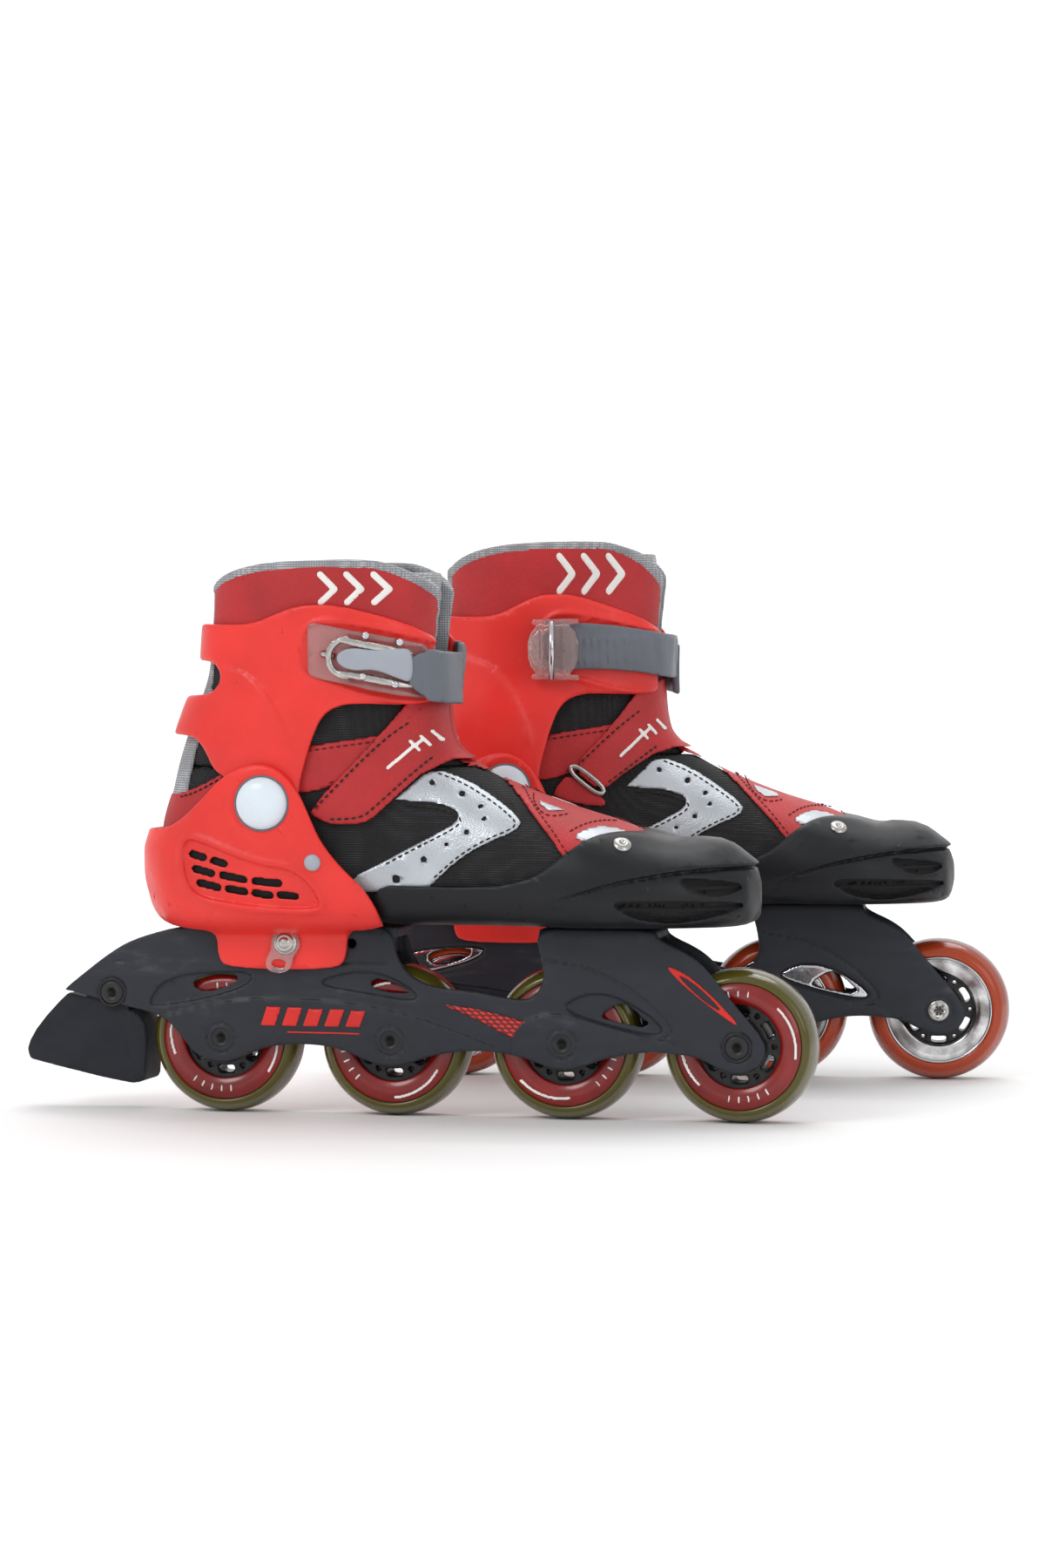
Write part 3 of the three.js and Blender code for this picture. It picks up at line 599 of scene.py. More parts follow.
def exact(field, grid, reach=16):
    """The same shape as a true distance, right up to that many steps from its surface."""
    points, faces = skin(grid, field, flatness=0.0)
    points = (points - grid.low) / grid.step
    level = openvdb.FloatGrid.createLevelSetFromPolygons(
        points, triangles=faces, halfWidth=float(reach))
    values = np.full(grid.shape, reach, np.float32)
    level.copyToArray(values)
    return values * grid.step


BOOT = Grid((-168, -62, 62), (142, 62, 286), 1.0)
BODY = exact(merge(foot_field(BOOT), leg_field(BOOT), 8), BOOT)


def sample(field, grid, points):
    """The field's value at each point, between the grid's own."""
    at = (np.array(points, float).reshape(-1, 3) - grid.low) / grid.step
    at = np.clip(at, 0, np.array(grid.shape) - 1.001)
    i = at.astype(int)
    t = at - i
    total = 0
    for corner in range(8):
        d = np.array([corner & 1, corner >> 1 & 1, corner >> 2])
        weight = np.prod(np.where(d, t, 1 - t), axis=1)
        total = total + weight * field[tuple((i + d).T)]
    return total


def body_at(points):
    return sample(BODY, BOOT, points)


def outward(points):
    """Unit normals of the boot's surface near the points."""
    slopes = [body_at(points + 1.5 * axis) - body_at(points - 1.5 * axis) for axis in np.eye(3)]
    normal = np.stack(slopes, 1)
    return normal / np.maximum(np.linalg.norm(normal, axis=1, keepdims=True), 1e-6)


def beside(chain, side, offset=0.0):
    """[x, z] points of the side view on the boot's surface, on side -1 (lateral) or 1."""
    chain = np.array(chain, float)
    p = np.stack([chain[:, 0], np.full(len(chain), side * 58.0), chain[:, 1]], 1)
    for _ in range(24):
        gap = np.clip(body_at(p) - offset, -6, 12)
        p[:, 1] -= side * gap
        p[:, 1] = np.where(side * p[:, 1] < 4, side * 4, p[:, 1])
    return p


def window(low, high, step=1):
    """Part of the boot's grid, and the body field on it; a step under 1 samples it finer."""
    if step < 1:
        grid = Grid(low, high, step)
        mesh = np.stack(np.meshgrid(*grid.axes, indexing="ij"), -1).reshape(-1, 3)
        return grid, body_at(mesh).reshape(grid.shape).astype(np.float32)
    start = np.clip(np.round(np.array(low) - BOOT.low).astype(int), 0, None)
    stop = np.minimum(np.round(np.array(high) - BOOT.low).astype(int) + 1, BOOT.shape)
    field = BODY[tuple(slice(a, b, step) for a, b in zip(start, stop))]
    corner = BOOT.low + start
    return Grid(corner, corner + step * (np.array(field.shape) - 1), step), field


# ---------------------------------------------------------------- putting pieces on

VAMP = ("root", "heel", (85, 0, 100), (-12, 0, 100))
COLLAR = ("heel", "cuff_unit", (-92, 0, 160), (-92, 0, 226))


def body_name(skate, body):
    return body if body == "root" else f"{skate.name}_{body}"


def piece(name, points, faces, material, body, stands_for=(), slot=None, across=None,
          second=None, in_second=None, only=None, fill=None):
    """One piece on each skate. body is a body's name, or VAMP or COLLAR for cloth, which stays in place
    without a body.
    Faces marked in in_second get the second material; fill is not used."""
    for skate in SKATES:
        if only and skate.name != only:
            continue
        mesh = bpy.data.meshes.new(f"{skate.name}_{name}")
        turned = [tuple(f)[::skate.hand] for f in faces]  # the mirror image turns its faces round
        mesh.from_pydata(skate.place(points).tolist(), [], turned)
        mesh.materials.append(MATERIALS[material])
        if second:
            mesh.materials.append(MATERIALS[second])
            mesh.polygons.foreach_set("material_index", np.array(in_second, np.int32))
        mesh.polygons.foreach_set("use_smooth", np.ones(len(mesh.polygons), bool))
        if across is not None:
            mesh.attributes.new("across", "FLOAT", "POINT").data.foreach_set("value", across)
        mesh.update()
        made = bpy.data.objects.new(mesh.name, mesh)
        bpy.context.scene.collection.objects.link(made)
        if isinstance(body, tuple):
            a, b, start, end = body
            ends = skate.place([start, end])
            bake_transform(made)
        else:
            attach(made, body_name(skate, body))
        if stands_for:
            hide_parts(*[f"{skate.name}_{node}" for node in stands_for])


def together(parts):
    """Several (points, faces) as one."""
    points, faces, count = [], [], 0
    for p, f in parts:
        points.append(np.array(p, float))
        faces += [tuple(int(i) + count for i in face) for face in f]
        count += len(p)
    return np.vstack(points), faces


def lathe(profile, sides=48, centre_at=(0, 0, 0), flip=1):
    """A closed [radius, y] profile turned about the cross axis through a point."""
    profile = np.array(profile, float)
    angle = np.linspace(0, math.tau, sides, endpoint=False)
    r, y = profile[:, 0], profile[:, 1] * flip
    points = np.stack([
        np.outer(np.cos(angle), r), np.tile(y, (sides, 1)), np.outer(np.sin(angle), r)], -1)
    count = len(profile)
    faces = []
    for i in range(sides):
        for j in range(count):
            k = (j + 1) % count
            after = (i + 1) % sides * count
            quad = (i * count + j, i * count + k, after + k, after + j)
            faces.append(quad if flip > 0 else quad[::-1])
    return points.reshape(-1, 3) + np.array(centre_at), faces


def tube(chain, radius, sides=10, closed=False):
    """A round bar along a chain of points."""
    p = np.array(chain, float)
    ahead = np.roll(p, -1, 0) if closed else np.vstack([p[1:], p[-1:]])
    behind = np.roll(p, 1, 0) if closed else np.vstack([p[:1], p[:-1]])
    way = ahead - behind
    way /= np.linalg.norm(way, axis=1, keepdims=True)
    u = np.cross(way, [0.31, 0.17, 0.93])  # any direction that no bar here follows
    u /= np.linalg.norm(u, axis=1, keepdims=True)
    v = np.cross(way, u)
    angle = np.linspace(0, math.tau, sides, endpoint=False)
    ring = np.cos(angle)[None, :, None] * u[:, None] + np.sin(angle)[None, :, None] * v[:, None]
    points = (p[:, None] + radius * ring).reshape(-1, 3)
    faces = []
    for i in range(len(p) if closed else len(p) - 1):
        for j in range(sides):
            here, after, k = i * sides, (i + 1) % len(p) * sides, (j + 1) % sides
            faces.append((here + j, here + k, after + k, after + j))
    if not closed:
        faces += [tuple(range(sides))[::-1], tuple(range(len(points) - sides, len(points)))]
    return points, faces


def head(profile, sides, x, z, side, offset):
    """A turned piece on the boot's side, square to its surface."""
    seat = beside([[x, z]], side, offset)
    return turned_to(*lathe(profile, sides), seat[0], outward(seat)[0])


def dome(x, z, radius, height, side, offset, edge=0.5):
    """A domed rivet head on the boot's side."""
    rings = [(radius, -1.0), (radius, edge)]
    for a in np.radians([20, 40, 58, 74, 86]):
        rings.append((radius * math.cos(a), edge + (height - edge) * math.sin(a)))
    profile = [(0.02, -1.0)] + rings + [(0.1, height), (0.02, height)]
    return head(profile, 40, x, z, side, offset)


def turned_to(points, faces, seat, normal):
    """Points built round the y axis, turned so that y is the normal, and moved to the seat."""
    normal = np.array(normal) / np.linalg.norm(normal)
    u = np.cross([0.0, 0.0, 1.0], normal)
    u /= np.linalg.norm(u)
    v = np.cross(normal, u)
    turn = np.stack([u, normal, v])
    if np.linalg.det(turn) < 0:
        faces = [f[::-1] for f in faces]
    return seat + points @ turn, faces


def spaced(chain, pitch):
    """Points at equal steps along a chain, and the directions there."""
    p = np.array(chain, float)
    length = np.concatenate([[0], np.cumsum(np.linalg.norm(np.diff(p, axis=0), axis=1))])
    at = np.arange(pitch / 2, length[-1], pitch)
    before, spots, after = (
        np.stack([np.interp(at + shift, length, axis) for axis in p.T], 1) for shift in (-0.4, 0, 0.4))
    way = after - before
    return spots, way / np.maximum(np.linalg.norm(way, axis=1, keepdims=True), 1e-9)


STITCH_PITCH, STITCH_LENGTH, STITCH_WIDTH = 3.3, 2.3, 0.85
STITCH_SIDES = 6


def stitch(spot, way, normal):
    """One thread stitch that lies along the way, thick in the middle and thin at its ends."""
    ring = []
    across = np.cross(way, normal)
    for t, swell in ((-0.5, 0.25), (-0.3, 0.9), (0.0, 1.0), (0.3, 0.9), (0.5, 0.25)):
        for k in range(STITCH_SIDES):
            angle = math.tau * k / STITCH_SIDES
            out = across * math.cos(angle) + normal * 0.8 * math.sin(angle)
            ring.append(spot + way * t * STITCH_LENGTH + swell * STITCH_WIDTH / 2 * out)
    faces = []
    for i in range(4):
        for k in range(STITCH_SIDES):
            here, after, m = i * STITCH_SIDES, (i + 1) * STITCH_SIDES, (k + 1) % STITCH_SIDES
            faces.append((here + k, here + m, after + m, after + k))
    ends = [tuple(range(STITCH_SIDES))[::-1], tuple(range(4 * STITCH_SIDES, 5 * STITCH_SIDES))]
    return ring, faces + ends


def stitches(name, chains, material, body, offset, sides=(-1, 1)):
    """Rows of thread stitches along side-view chains, lying on the boot at that distance."""
    parts = []
    for chain in chains:
        line = rounded(chain, 2, closed=False)
        for side in sides:
            spots, way = spaced(beside(spaced(line, 1.5)[0], side, offset), STITCH_PITCH)
            lying = np.abs(body_at(spots) - offset) < 0.7  # the others would hang over an edge
            spots, way = spots[lying], way[lying]
            parts += [stitch(*each) for each in zip(spots, way, outward(spots))]
    piece(name, *together(parts), material, body)


# ---------------------------------------------------------------- soft boot

RIM = [(-172, 60), (-172, 238), (-125, 240), (-116, 245.5), (-103, 249.5), (-85, 251.8), (-46, 252.6),
       (-36, 250.5), (-24, 245), (-16, 238), (-10, 228), (-6, 190), (8, 186), (145, 186), (145, 60)]
SEAM_HEIGHT = 160  # the vamp lies below it, the collar above it
THROAT = 12  # half width of the opening over the tongue
WALL = 4.5  # thickness of the soft boot


def throat(grid):
    """The slot down the front of the collar, over the tongue."""
    side = np.abs(grid.y) - THROAT
    return fold(fold(side, 174 - grid.z, 4), -62 - grid.x, 2)


def soft_boot():
    """Mesh cloth of vamp and collar in one wall, the padded tongue, and the collar's binding."""
    grid, body = window((-160, -50, 86), (136, 50, 262), 2)
    shape = fold(outline(grid, RIM), -throat(grid), 2)
    wall = fold(fold(body, -body - WALL, 1), shape, 2)
    above_seam = grid.z - SEAM_HEIGHT
    for name, bend, cut in (("vamp_mesh", VAMP, above_seam), ("collar_mesh", COLLAR, -above_seam)):
        points, faces = skin(grid, np.maximum(wall, cut))
        inside = body_at(points[faces].mean(1)) < -WALL + 1.2
        stands = ("soft_boot",) if name == "vamp_mesh" else ()
        piece(name, points, faces, "mesh", bend, stands, "mesh_fabric", second="lining", in_second=inside)
    # Padded tongue inside the throat, and the bound edge of the collar
    reach = fold(np.abs(grid.y) - 21, -58 - grid.x, 4)
    tongue = fold(fold(layer(body, -9.5, -4.9), reach, 3), fold(grid.z - 249, 150 - grid.z, 3), 3)
    piece("tongue", *skin(grid, tongue), "tongue", COLLAR, slot="binding_fabric", fill=0.7)
    grid, body = window((-150, -48, 165), (0, 48, 262), 1)
    shape = fold(outline(grid, RIM), -throat(grid), 2)
    binding = fold(layer(body, -WALL - 1.1, 1.4), np.abs(shape + 0.6) - 2.1, 1.2)
    binding = fold(binding, 172 - grid.z, 1)
    piece("collar_binding", *skin(grid, binding), "binding", COLLAR, slot="binding_fabric")


def strip_width(grid):
    """Half width of the pale strip down the back, which widens towards the heel."""
    return 19 + 7 * ease((212 - grid.z) / 36)


def panel(name, points, material, bend, low=-0.3, high=0.9, cut=None, slot=None, step=1, rounds=2,
          box=((-160, -52, 86), (136, 52, 262)), holes=(), puff=0.0, fill=None):
    """A sewn panel: a thin layer on the boot inside a side outline, on both sides of it."""
    grid, body = window(*box, step)
    shape = outline(grid, points, rounds)
    if puff:
        body = body - puff * (1 - np.exp(np.minimum(shape, 0) / 7))
    field = fold(layer(body, low, high), shape, 0.5)
    for x, z, radius in holes:
        field = np.maximum(field, -disc(grid, x, z, radius))
    if cut is not None:
        field = np.maximum(field, cut(grid))
    piece(name, *skin(grid, field), material, bend, slot=slot, fill=fill)


PATCH = [(-34, 146), (-28, 151), (-19, 160.2), (-2.6, 154.8), (13.4, 145.2), (21.8, 139), (25, 135.2),
         (21.8, 131.5), (9.4, 126.4), (-2.6, 119.2), (-16, 107), (-20, 103), (-54, 103), (-53, 110.5),
         (-39.6, 117), (-23.1, 125.8), (-7, 134.1), (-3.2, 138), (-6.2, 141.6), (-15, 144.4),
         (-32.3, 145.2)]
PATCH_HOLES = [(-17.8, 153.2, 1.1), (-3.8, 148.2, 1.2), (5.4, 142.8, 0.9), (7.8, 137.4, 0.9),
               (0.6, 131.5, 0.9), (-8.6, 125.9, 0.9), (-19.1, 118.8, 1.4), (-31.9, 110.0, 1.7)]
TRIM_EDGE = [(-16, 164.5), (4.9, 158), (17.3, 149.8), (29.3, 138.2), (37.6, 130.2), (46, 120)]
BAND = [(-84, 149), (-84, 168), (-69, 170.5), (-41.7, 174.5), (-22, 178), (-9, 178), (-9, 162),
        (-45, 157.5), (-64, 150.5), (-73, 148.5)]
COUNTER = [(-160, 90), (-160, 147), (-141, 147), (-128, 150), (-116, 156), (-104, 162), (-88, 163),
           (-88, 90)]


def upper_panels():
    """The sewn panels of the collar and the vamp, with their stitching and print."""
    mid_front = lambda g: THROAT + 0.8 - np.abs(g.y) - 60 * (g.x < -50)
    off_strip = lambda g: np.where(g.x < -100, strip_width(g) - np.abs(g.y), 196 - g.z)
    panel("collar_panel", RIM, "leather", COLLAR, slot="upper_leatherette", puff=1.0, fill=0.6,
          cut=lambda g: np.maximum(np.maximum(mid_front(g), off_strip(g)), 210 - g.z),
          box=((-150, -50, 204), (0, 50, 262)))
    panel("back_strip", RIM, "binding", COLLAR, -0.3, 1.0, slot="binding_fabric",
          cut=lambda g: np.maximum(np.maximum(np.abs(g.y) - strip_width(g), 142 - g.z), g.x + 104),
          box=((-160, -32, 138), (-100, 32, 262)))
    panel("heel_counter", COUNTER, "leather", VAMP, -0.3, 1.5, slot="upper_leatherette",
          cut=lambda g: g.z - SEAM_HEIGHT, box=((-160, -50, 120), (-80, 50, 170)))
    panel("ankle_band", BAND, "leather", "heel", -0.3, 1.1, slot="upper_leatherette",
          cut=lambda g: 15 - np.abs(g.y), box=((-95, -50, 140), (5, 50, 190)))
    panel("silver_patch", PATCH, "silver", VAMP, -0.3, 1.0, slot="silver_vinyl", holes=PATCH_HOLES,
          box=((-62, -52, 98), (32, 52, 166)), cut=lambda g: 17 - np.abs(g.y), rounds=1)
    trim = TRIM_EDGE + [(60, 104), (93, 100), (93, 200), (-16, 200)]
    throat_cut = lambda g: np.where(g.x < -9, 13 - np.abs(g.y), -9.0)
    panel("vamp_trim", trim, "leather", VAMP, -0.3, 1.2, slot="upper_leatherette",
          cut=throat_cut, box=((-22, -52, 100), (112, 52, 172)))
    triangle = [(24.6, 150.2), (25.8, 150.4), (33.6, 146.3), (41.4, 141.4), (41, 140.8), (35.2, 140.1),
                (30, 143.6)]
    panel("silver_insert", triangle, "silver", VAMP, 0.6, 1.7, slot="silver_vinyl", rounds=0,
          cut=lambda g: 13 - np.abs(g.y), box=((20, -50, 134), (46, 50, 156)))
    oval = [(48, 129.6), (52.6, 133.2), (59, 134.4), (67, 132.8), (72.6, 129.4), (63, 127),
            (54.3, 127)]
    panel("silver_oval", oval, "silver", VAMP, 0.6, 1.8, slot="silver_vinyl", rounds=1,
          box=((40, -50, 120), (82, 50, 142)), cut=lambda g: 9 - np.abs(g.y))
    inner = [(-30, 143.6), (-15, 142.6), (-5, 139.4), (-1.6, 136.6), (-6, 132.4), (-23, 124),
             (-38, 116)]
    outer = [(-17, 158), (-3, 153), (12.6, 143.6), (20.6, 137.6), (22.6, 135.2), (20.6, 132.8),
             (9, 128), (-3, 120.6), (-15, 110)]
    stitches("patch_stitching", [inner, outer], "thread_black", VAMP, 1.1)
    stitches("trim_stitching", [[(x + 1.2, z + 2.6) for x, z in TRIM_EDGE]], "thread_red", VAMP, 1.3)
    round_insert = [(44, 139.6), (35.4, 138.2), (28.6, 143), (22.6, 151.6)]
    over_oval = [(45.6, 131.4), (51.4, 135.4), (59, 136.8), (68.4, 135), (74.6, 131.2)]
    stitches("insert_stitching", [round_insert, over_oval], "thread_red", VAMP, 1.4)
    low = [(-64, 152.6), (-45, 159.4), (-20, 163)]
    high = [(-74, 167.4), (-41, 172), (-22, 175.4)]
    stitches("band_stitching", [low, high], "thread_red", "heel", 1.2)
    counter = [(-138, 145.6), (-128, 148), (-116, 154), (-105, 159.6)]
    stitches("counter_stitching", [counter], "thread_black", VAMP, 1.7)
    marks = []
    for start in (-66, -54, -42):  # plain rounded marks on the collar, a chevron each
        grid, body = window((-80, -50, 230), (-20, 50, 252), 0.5)
        chevron = stroke(grid, [(start, 247), (start + 6.5, 240.5), (start, 234.5)], 0) - 1.5
        marks.append(skin(grid, fold(layer(body, 0.8, 2.1), chevron, 0.4)))
    piece("collar_marks", *together(marks), "white", COLLAR, slot="white_print")


STRAP = [(-72.5, 140.5), (-68, 137), (-60.2, 134.2), (-47, 134.8), (-41.2, 138.2), (-15.8, 163.5),
         (6, 164), (8, 196), (-24, 196), (-41.1, 173.3)]
STRAP_INNER = [(-60.5, 154), (-45.4, 143.2), (-34, 152), (-15.8, 163.5), (6, 164), (8, 196),
               (-24, 196), (-41.1, 173.3)]


def instep_strap():
    """Slanted strap over the instep with its ring, tab, stitching and plain print."""
    grid, body = window((-80, -52, 128), (12, 52, 200), 1)
    puffed = body - 0.8 * raised(outline(grid, STRAP) + 4, 3)
    lateral = np.maximum(outline(grid, STRAP, 1), grid.y)
    medial = np.maximum(outline(grid, STRAP_INNER, 1), -grid.y)
    strap = fold(layer(puffed, 1.4, 3.3), np.minimum(lateral, medial), 0.6)
    piece("instep_strap", *skin(grid, strap), "leather", "heel", ("instep_strap",), "upper_leatherette")
    tab = [(-61, 152.6), (-46.4, 142), (-42, 137.6), (-47, 135.4), (-67, 139.6), (-70, 143)]
    field = fold(layer(body, 1.1, 2.6), np.maximum(outline(grid, tab, 1), 2 - grid.y), 0.5)
    piece("ring_tab", *skin(grid, field), "leather", "heel", slot="upper_leatherette")
    ends = beside([(-60.6, 155.2), (-43.8, 142.6)], 1, 4.0)
    around = np.linspace(0, math.tau, 28, endpoint=False)
    middle, half = ends.mean(0), (ends[1] - ends[0]) / 2
    lift = np.cross(half / np.linalg.norm(half), outward(middle[None])[0])
    loop = []
    for a in around:
        along = 0.94 * np.sign(math.cos(a)) * abs(math.cos(a)) ** 0.6
        loop.append(middle + half * along + lift * 2.4 * math.sin(a))
    piece("strap_ring", *tube(loop, 1.1, closed=True), "steel", "heel", slot="bright_steel")
    edge_low = [(-63, 136.8), (-48.4, 137.2), (-42.6, 141), (-17, 165.8)]
    edge_high = [(-69.6, 140.8), (-39.4, 171.6), (-27, 181)]
    stitches("strap_stitching", [edge_low, edge_high], "thread_black", "heel", 4.1, sides=(-1,))
    inner_low = [(-43, 147), (-17, 165.8)]
    inner_high = [(-56, 156.4), (-39.4, 171.6), (-27, 181)]
    stitches("strap_stitching_inner", [inner_low, inner_high], "thread_black", "heel", 4.1, sides=(1,))
    # A plain print on the strap: one bar and three ticks
    fine, near = window((-45, -50, 155), (-5, 50, 185), 0.5)
    marks = [stroke(fine, [(-36, 160), (-22, 173)], 0) - 0.9]
    for i in range(3):
        x, z = -27 + 4 * i, 172 + 2.2 * i
        marks.append(stroke(fine, [(x, z), (x + 3.6, z - 4)], 0) - 0.8)
    print_field = fold(layer(near, 3.9, 4.45), np.minimum.reduce(marks), 0.2)
    piece("strap_print", *skin(fine, print_field), "white", "heel", slot="white_print")


# ---------------------------------------------------------------- hard shells

HEEL = [(-39, 84), (-39.3, 95.3), (-45.4, 106.2), (-54.7, 114.4), (-64.8, 126.8), (-70.5, 139),
        (-75.8, 150.7), (-83.1, 158.6), (-92, 162), (-101, 161), (-111.7, 156), (-122, 145.5),
        (-133.6, 135.5), (-146, 131.6), (-170, 131), (-170, 84)]
VENT_PANEL = [(-131.5, 128), (-119.2, 125.1), (-104.8, 119.4), (-90.1, 115.2), (-78.7, 114.1),
              (-70.9, 108.3), (-66, 100.1), (-67.5, 96.4), (-88.5, 96.6), (-109, 98.8),
              (-125.3, 101.8), (-130.3, 111.2)]
VENTS = [[(-127.8, 120.7), (-120, 118.8)], [(-116.7, 118), (-109.7, 116.1)],
         [(-126.2, 114), (-115.9, 111.7)], [(-112.6, 111.4), (-100.3, 109.1)],
         [(-97.1, 108.8), (-84, 107.7)],
         [(-124.1, 107.7), (-113.1, 105.4)], [(-110.2, 105.1), (-100.3, 103.6)],
         [(-97.5, 103.3), (-88.5, 102.2)], [(-85.6, 102.6), (-76.7, 101.9)]]
TAB = [(-121.1, 92), (-121.1, 72.2), (-115.8, 67.1), (-64.7, 67.1), (-59.4, 73.1), (-59.4, 92)]


def shortened(ends, by):
    a, b = np.array(ends, float)
    way = (b - a) / np.linalg.norm(b - a)
    return [a + way * by, b - way * by]


def heel_shell():
    """Red shell with its vents, ankle caps, side rivets and the cheeks beside the frame."""
    grid, body = window((-166, -56, 62), (-34, 56, 168), 0.8)
    panel_field = outline(grid, VENT_PANEL)
    slots = np.minimum.reduce([stroke(grid, shortened(ends, 1.0)) for ends in VENTS]) - 1.6
    relief = -1.6 * raised(panel_field, 0.6)
    relief = relief + 0.9 * ridge(panel_field, 1.8, 1.2, 0.8)
    relief = relief + 0.7 * ridge(disc(grid, ANKLE_X, ANKLE_HEIGHT, 15.2), 0, 1.2, 1.0)
    relief = relief - 1.7 * ease((grid.z - 121) / 11) * ease((-126 - grid.x) / 14)
    shell = fold(fold(body, 85.8 - grid.z, 5) - 9.2 - relief, 6.2 - body, 1.0)
    shell = fold(shell, outline(grid, HEEL), 1.6)
    straddle = fold(np.abs(grid.y) - 16.4, grid.z - 87.3, 1)
    floor = fold(fold(body - 8.5, grid.x + 66, 1), np.maximum(grid.z - 90.2, 87.5 - grid.z), 1)
    cheek = fold(outline(grid, TAB), np.abs(np.abs(grid.y) - 18) - 1.6, 1.2)
    shell = np.maximum(merge(merge(shell, floor, 1), cheek, 5), -straddle)
    shell = fold(shell, -slots, 0.4)
    piece("heel_shell", *skin(grid, shell), "red", "heel", ("heel_shell",), "red_plastic")
    # Painted shade: a near-black sheet behind the vents stands for the shade seen through them
    shade_sheet = fold(layer(body, 4.9, 5.7), np.maximum(panel_field, np.abs(grid.x + 98) - 34), 0.3)
    piece("vent_shade_sheet", *skin(grid, shade_sheet), "hole", "heel", slot="lining_fabric")
    for side, where in ((-1, "outer"), (1, "inner")):
        seat = np.array([ANKLE_X, side * 46.6, ANKLE_HEIGHT])
        profile = [(0.02, -2), (11.6, -2), (11.9, -0.2), (11.6, 0.9)]
        for a in np.radians([12, 28, 44, 60, 75, 86]):
            profile.append((11.4 * math.cos(a), 0.9 + 3.9 * math.sin(a)))
        profile += [(0.1, 4.8), (0.02, 4.8)]
        cap = turned_to(*lathe(profile, 64), seat, (0, side, 0))
        piece(f"ankle_cap_{where}", *cap, "pearl", "heel", (f"ankle_rivet_{where}",), "pearl_plastic")
        ring = [(11.9, -1.5), (12.7, -1.5), (12.7, 0.1), (11.9, 0.1)]
        ring = turned_to(*lathe(ring, 64), seat, (0, side, 0))
        piece(f"ankle_washer_{where}", *ring, "grey_plastic", "heel", slot="grey_plastic")
    small = together([dome(-68.3, 117.5, 3.8, 2.2, side, 9.0) for side in (-1, 1)])
    piece("side_rivets", *small, "tongue_plastic", "heel", slot="grey_plastic")


CUFF = [(-103, 151), (-92, 128), (-78, 136), (-75.5, 153.4), (-74.7, 157), (-72.2, 166),
        (-69.3, 175.1), (-65.3, 183.4), (-58.8, 187.7), (-49.4, 188.9), (-34.1, 188.2), (-22.8, 188.6),
        (-15.5, 192), (-14, 204), (-15.5, 216), (-19.9, 220.4), (-27.5, 224.9), (-41.2, 229.4),
        (-58.2, 233.4), (-69.9, 233.8), (-78.5, 232.8), (-87.8, 229.3), (-98.9, 225), (-115.7, 224.6),
        (-126, 225.2), (-155, 225), (-155, 208.6), (-130, 208.4), (-120, 207.6), (-115.5, 204),
        (-115, 199), (-118, 194.5), (-125, 192.4), (-160, 192), (-160, 174.4), (-134, 174.4),
        (-126, 172.6), (-121.5, 167), (-118, 158)]
LOWER_PANEL = [(-124, 206.5), (-110, 205.5), (-98.9, 201.4), (-88.6, 190.0), (-82.1, 177.5),
               (-77.6, 162.6), (-74, 130), (-170, 130), (-170, 207)]
BUCKLE_PANEL = [(-76.5, 206.5), (-74, 221.5), (-65, 226.5), (-45, 223.5), (-26, 219), (-8, 214),
                (-8, 190), (-34, 189.8), (-70, 200.5)]


def cuff():
    """Red shell round the leg, open at the front, with raised panels."""
    grid, body = window((-156, -54, 126), (-6, 54, 238), 0.85)
    relief = 1.1 * raised(outline(grid, LOWER_PANEL), 0.9) + 1.6 * ease((-108 - grid.x) / 14)
    relief = relief + 1.1 * ridge(outline(grid, BUCKLE_PANEL), 0.6, 1.1, 0.8)
    relief = relief * ease((grid.z - 160) / 12)
    shell = fold(layer(body, 1.7, 4.6 + relief), outline(grid, CUFF), 2.0)
    mouth = fold(np.abs(grid.y) - 17, -50 - grid.x, 3)
    shell = fold(shell, -mouth, 1.5)
    piece("cuff", *skin(grid, shell), "red", "cuff_unit", ("cuff",), "red_plastic")


TOE_TOP = [(-44.2, 80), (-44.2, 107.2), (-20, 107), (-2, 107), (18, 107.8), (34.1, 112.4), (46, 121.9),
           (54, 128), (61, 131.2), (70, 132), (80, 130.4), (91, 127.2), (98, 130), (100, 150),
           (150, 150), (150, 80)]
TOE_CREASE = [(30, 98), (49.6, 103.7), (67.7, 109.7), (91.7, 114.2), (109.1, 115.8), (140, 116.6)]
VENT_HIGH = [(96, 111.4), (99.6, 107.2), (106, 103.6), (115, 102.8), (124, 107.5), (112, 110),
             (104, 110.6)]
VENT_LOW = [(66, 101.2), (74.4, 95.4), (81.9, 92.7), (93.7, 91.5), (107, 93.2), (124, 98.4),
            (117.8, 100.2), (93.7, 101)]


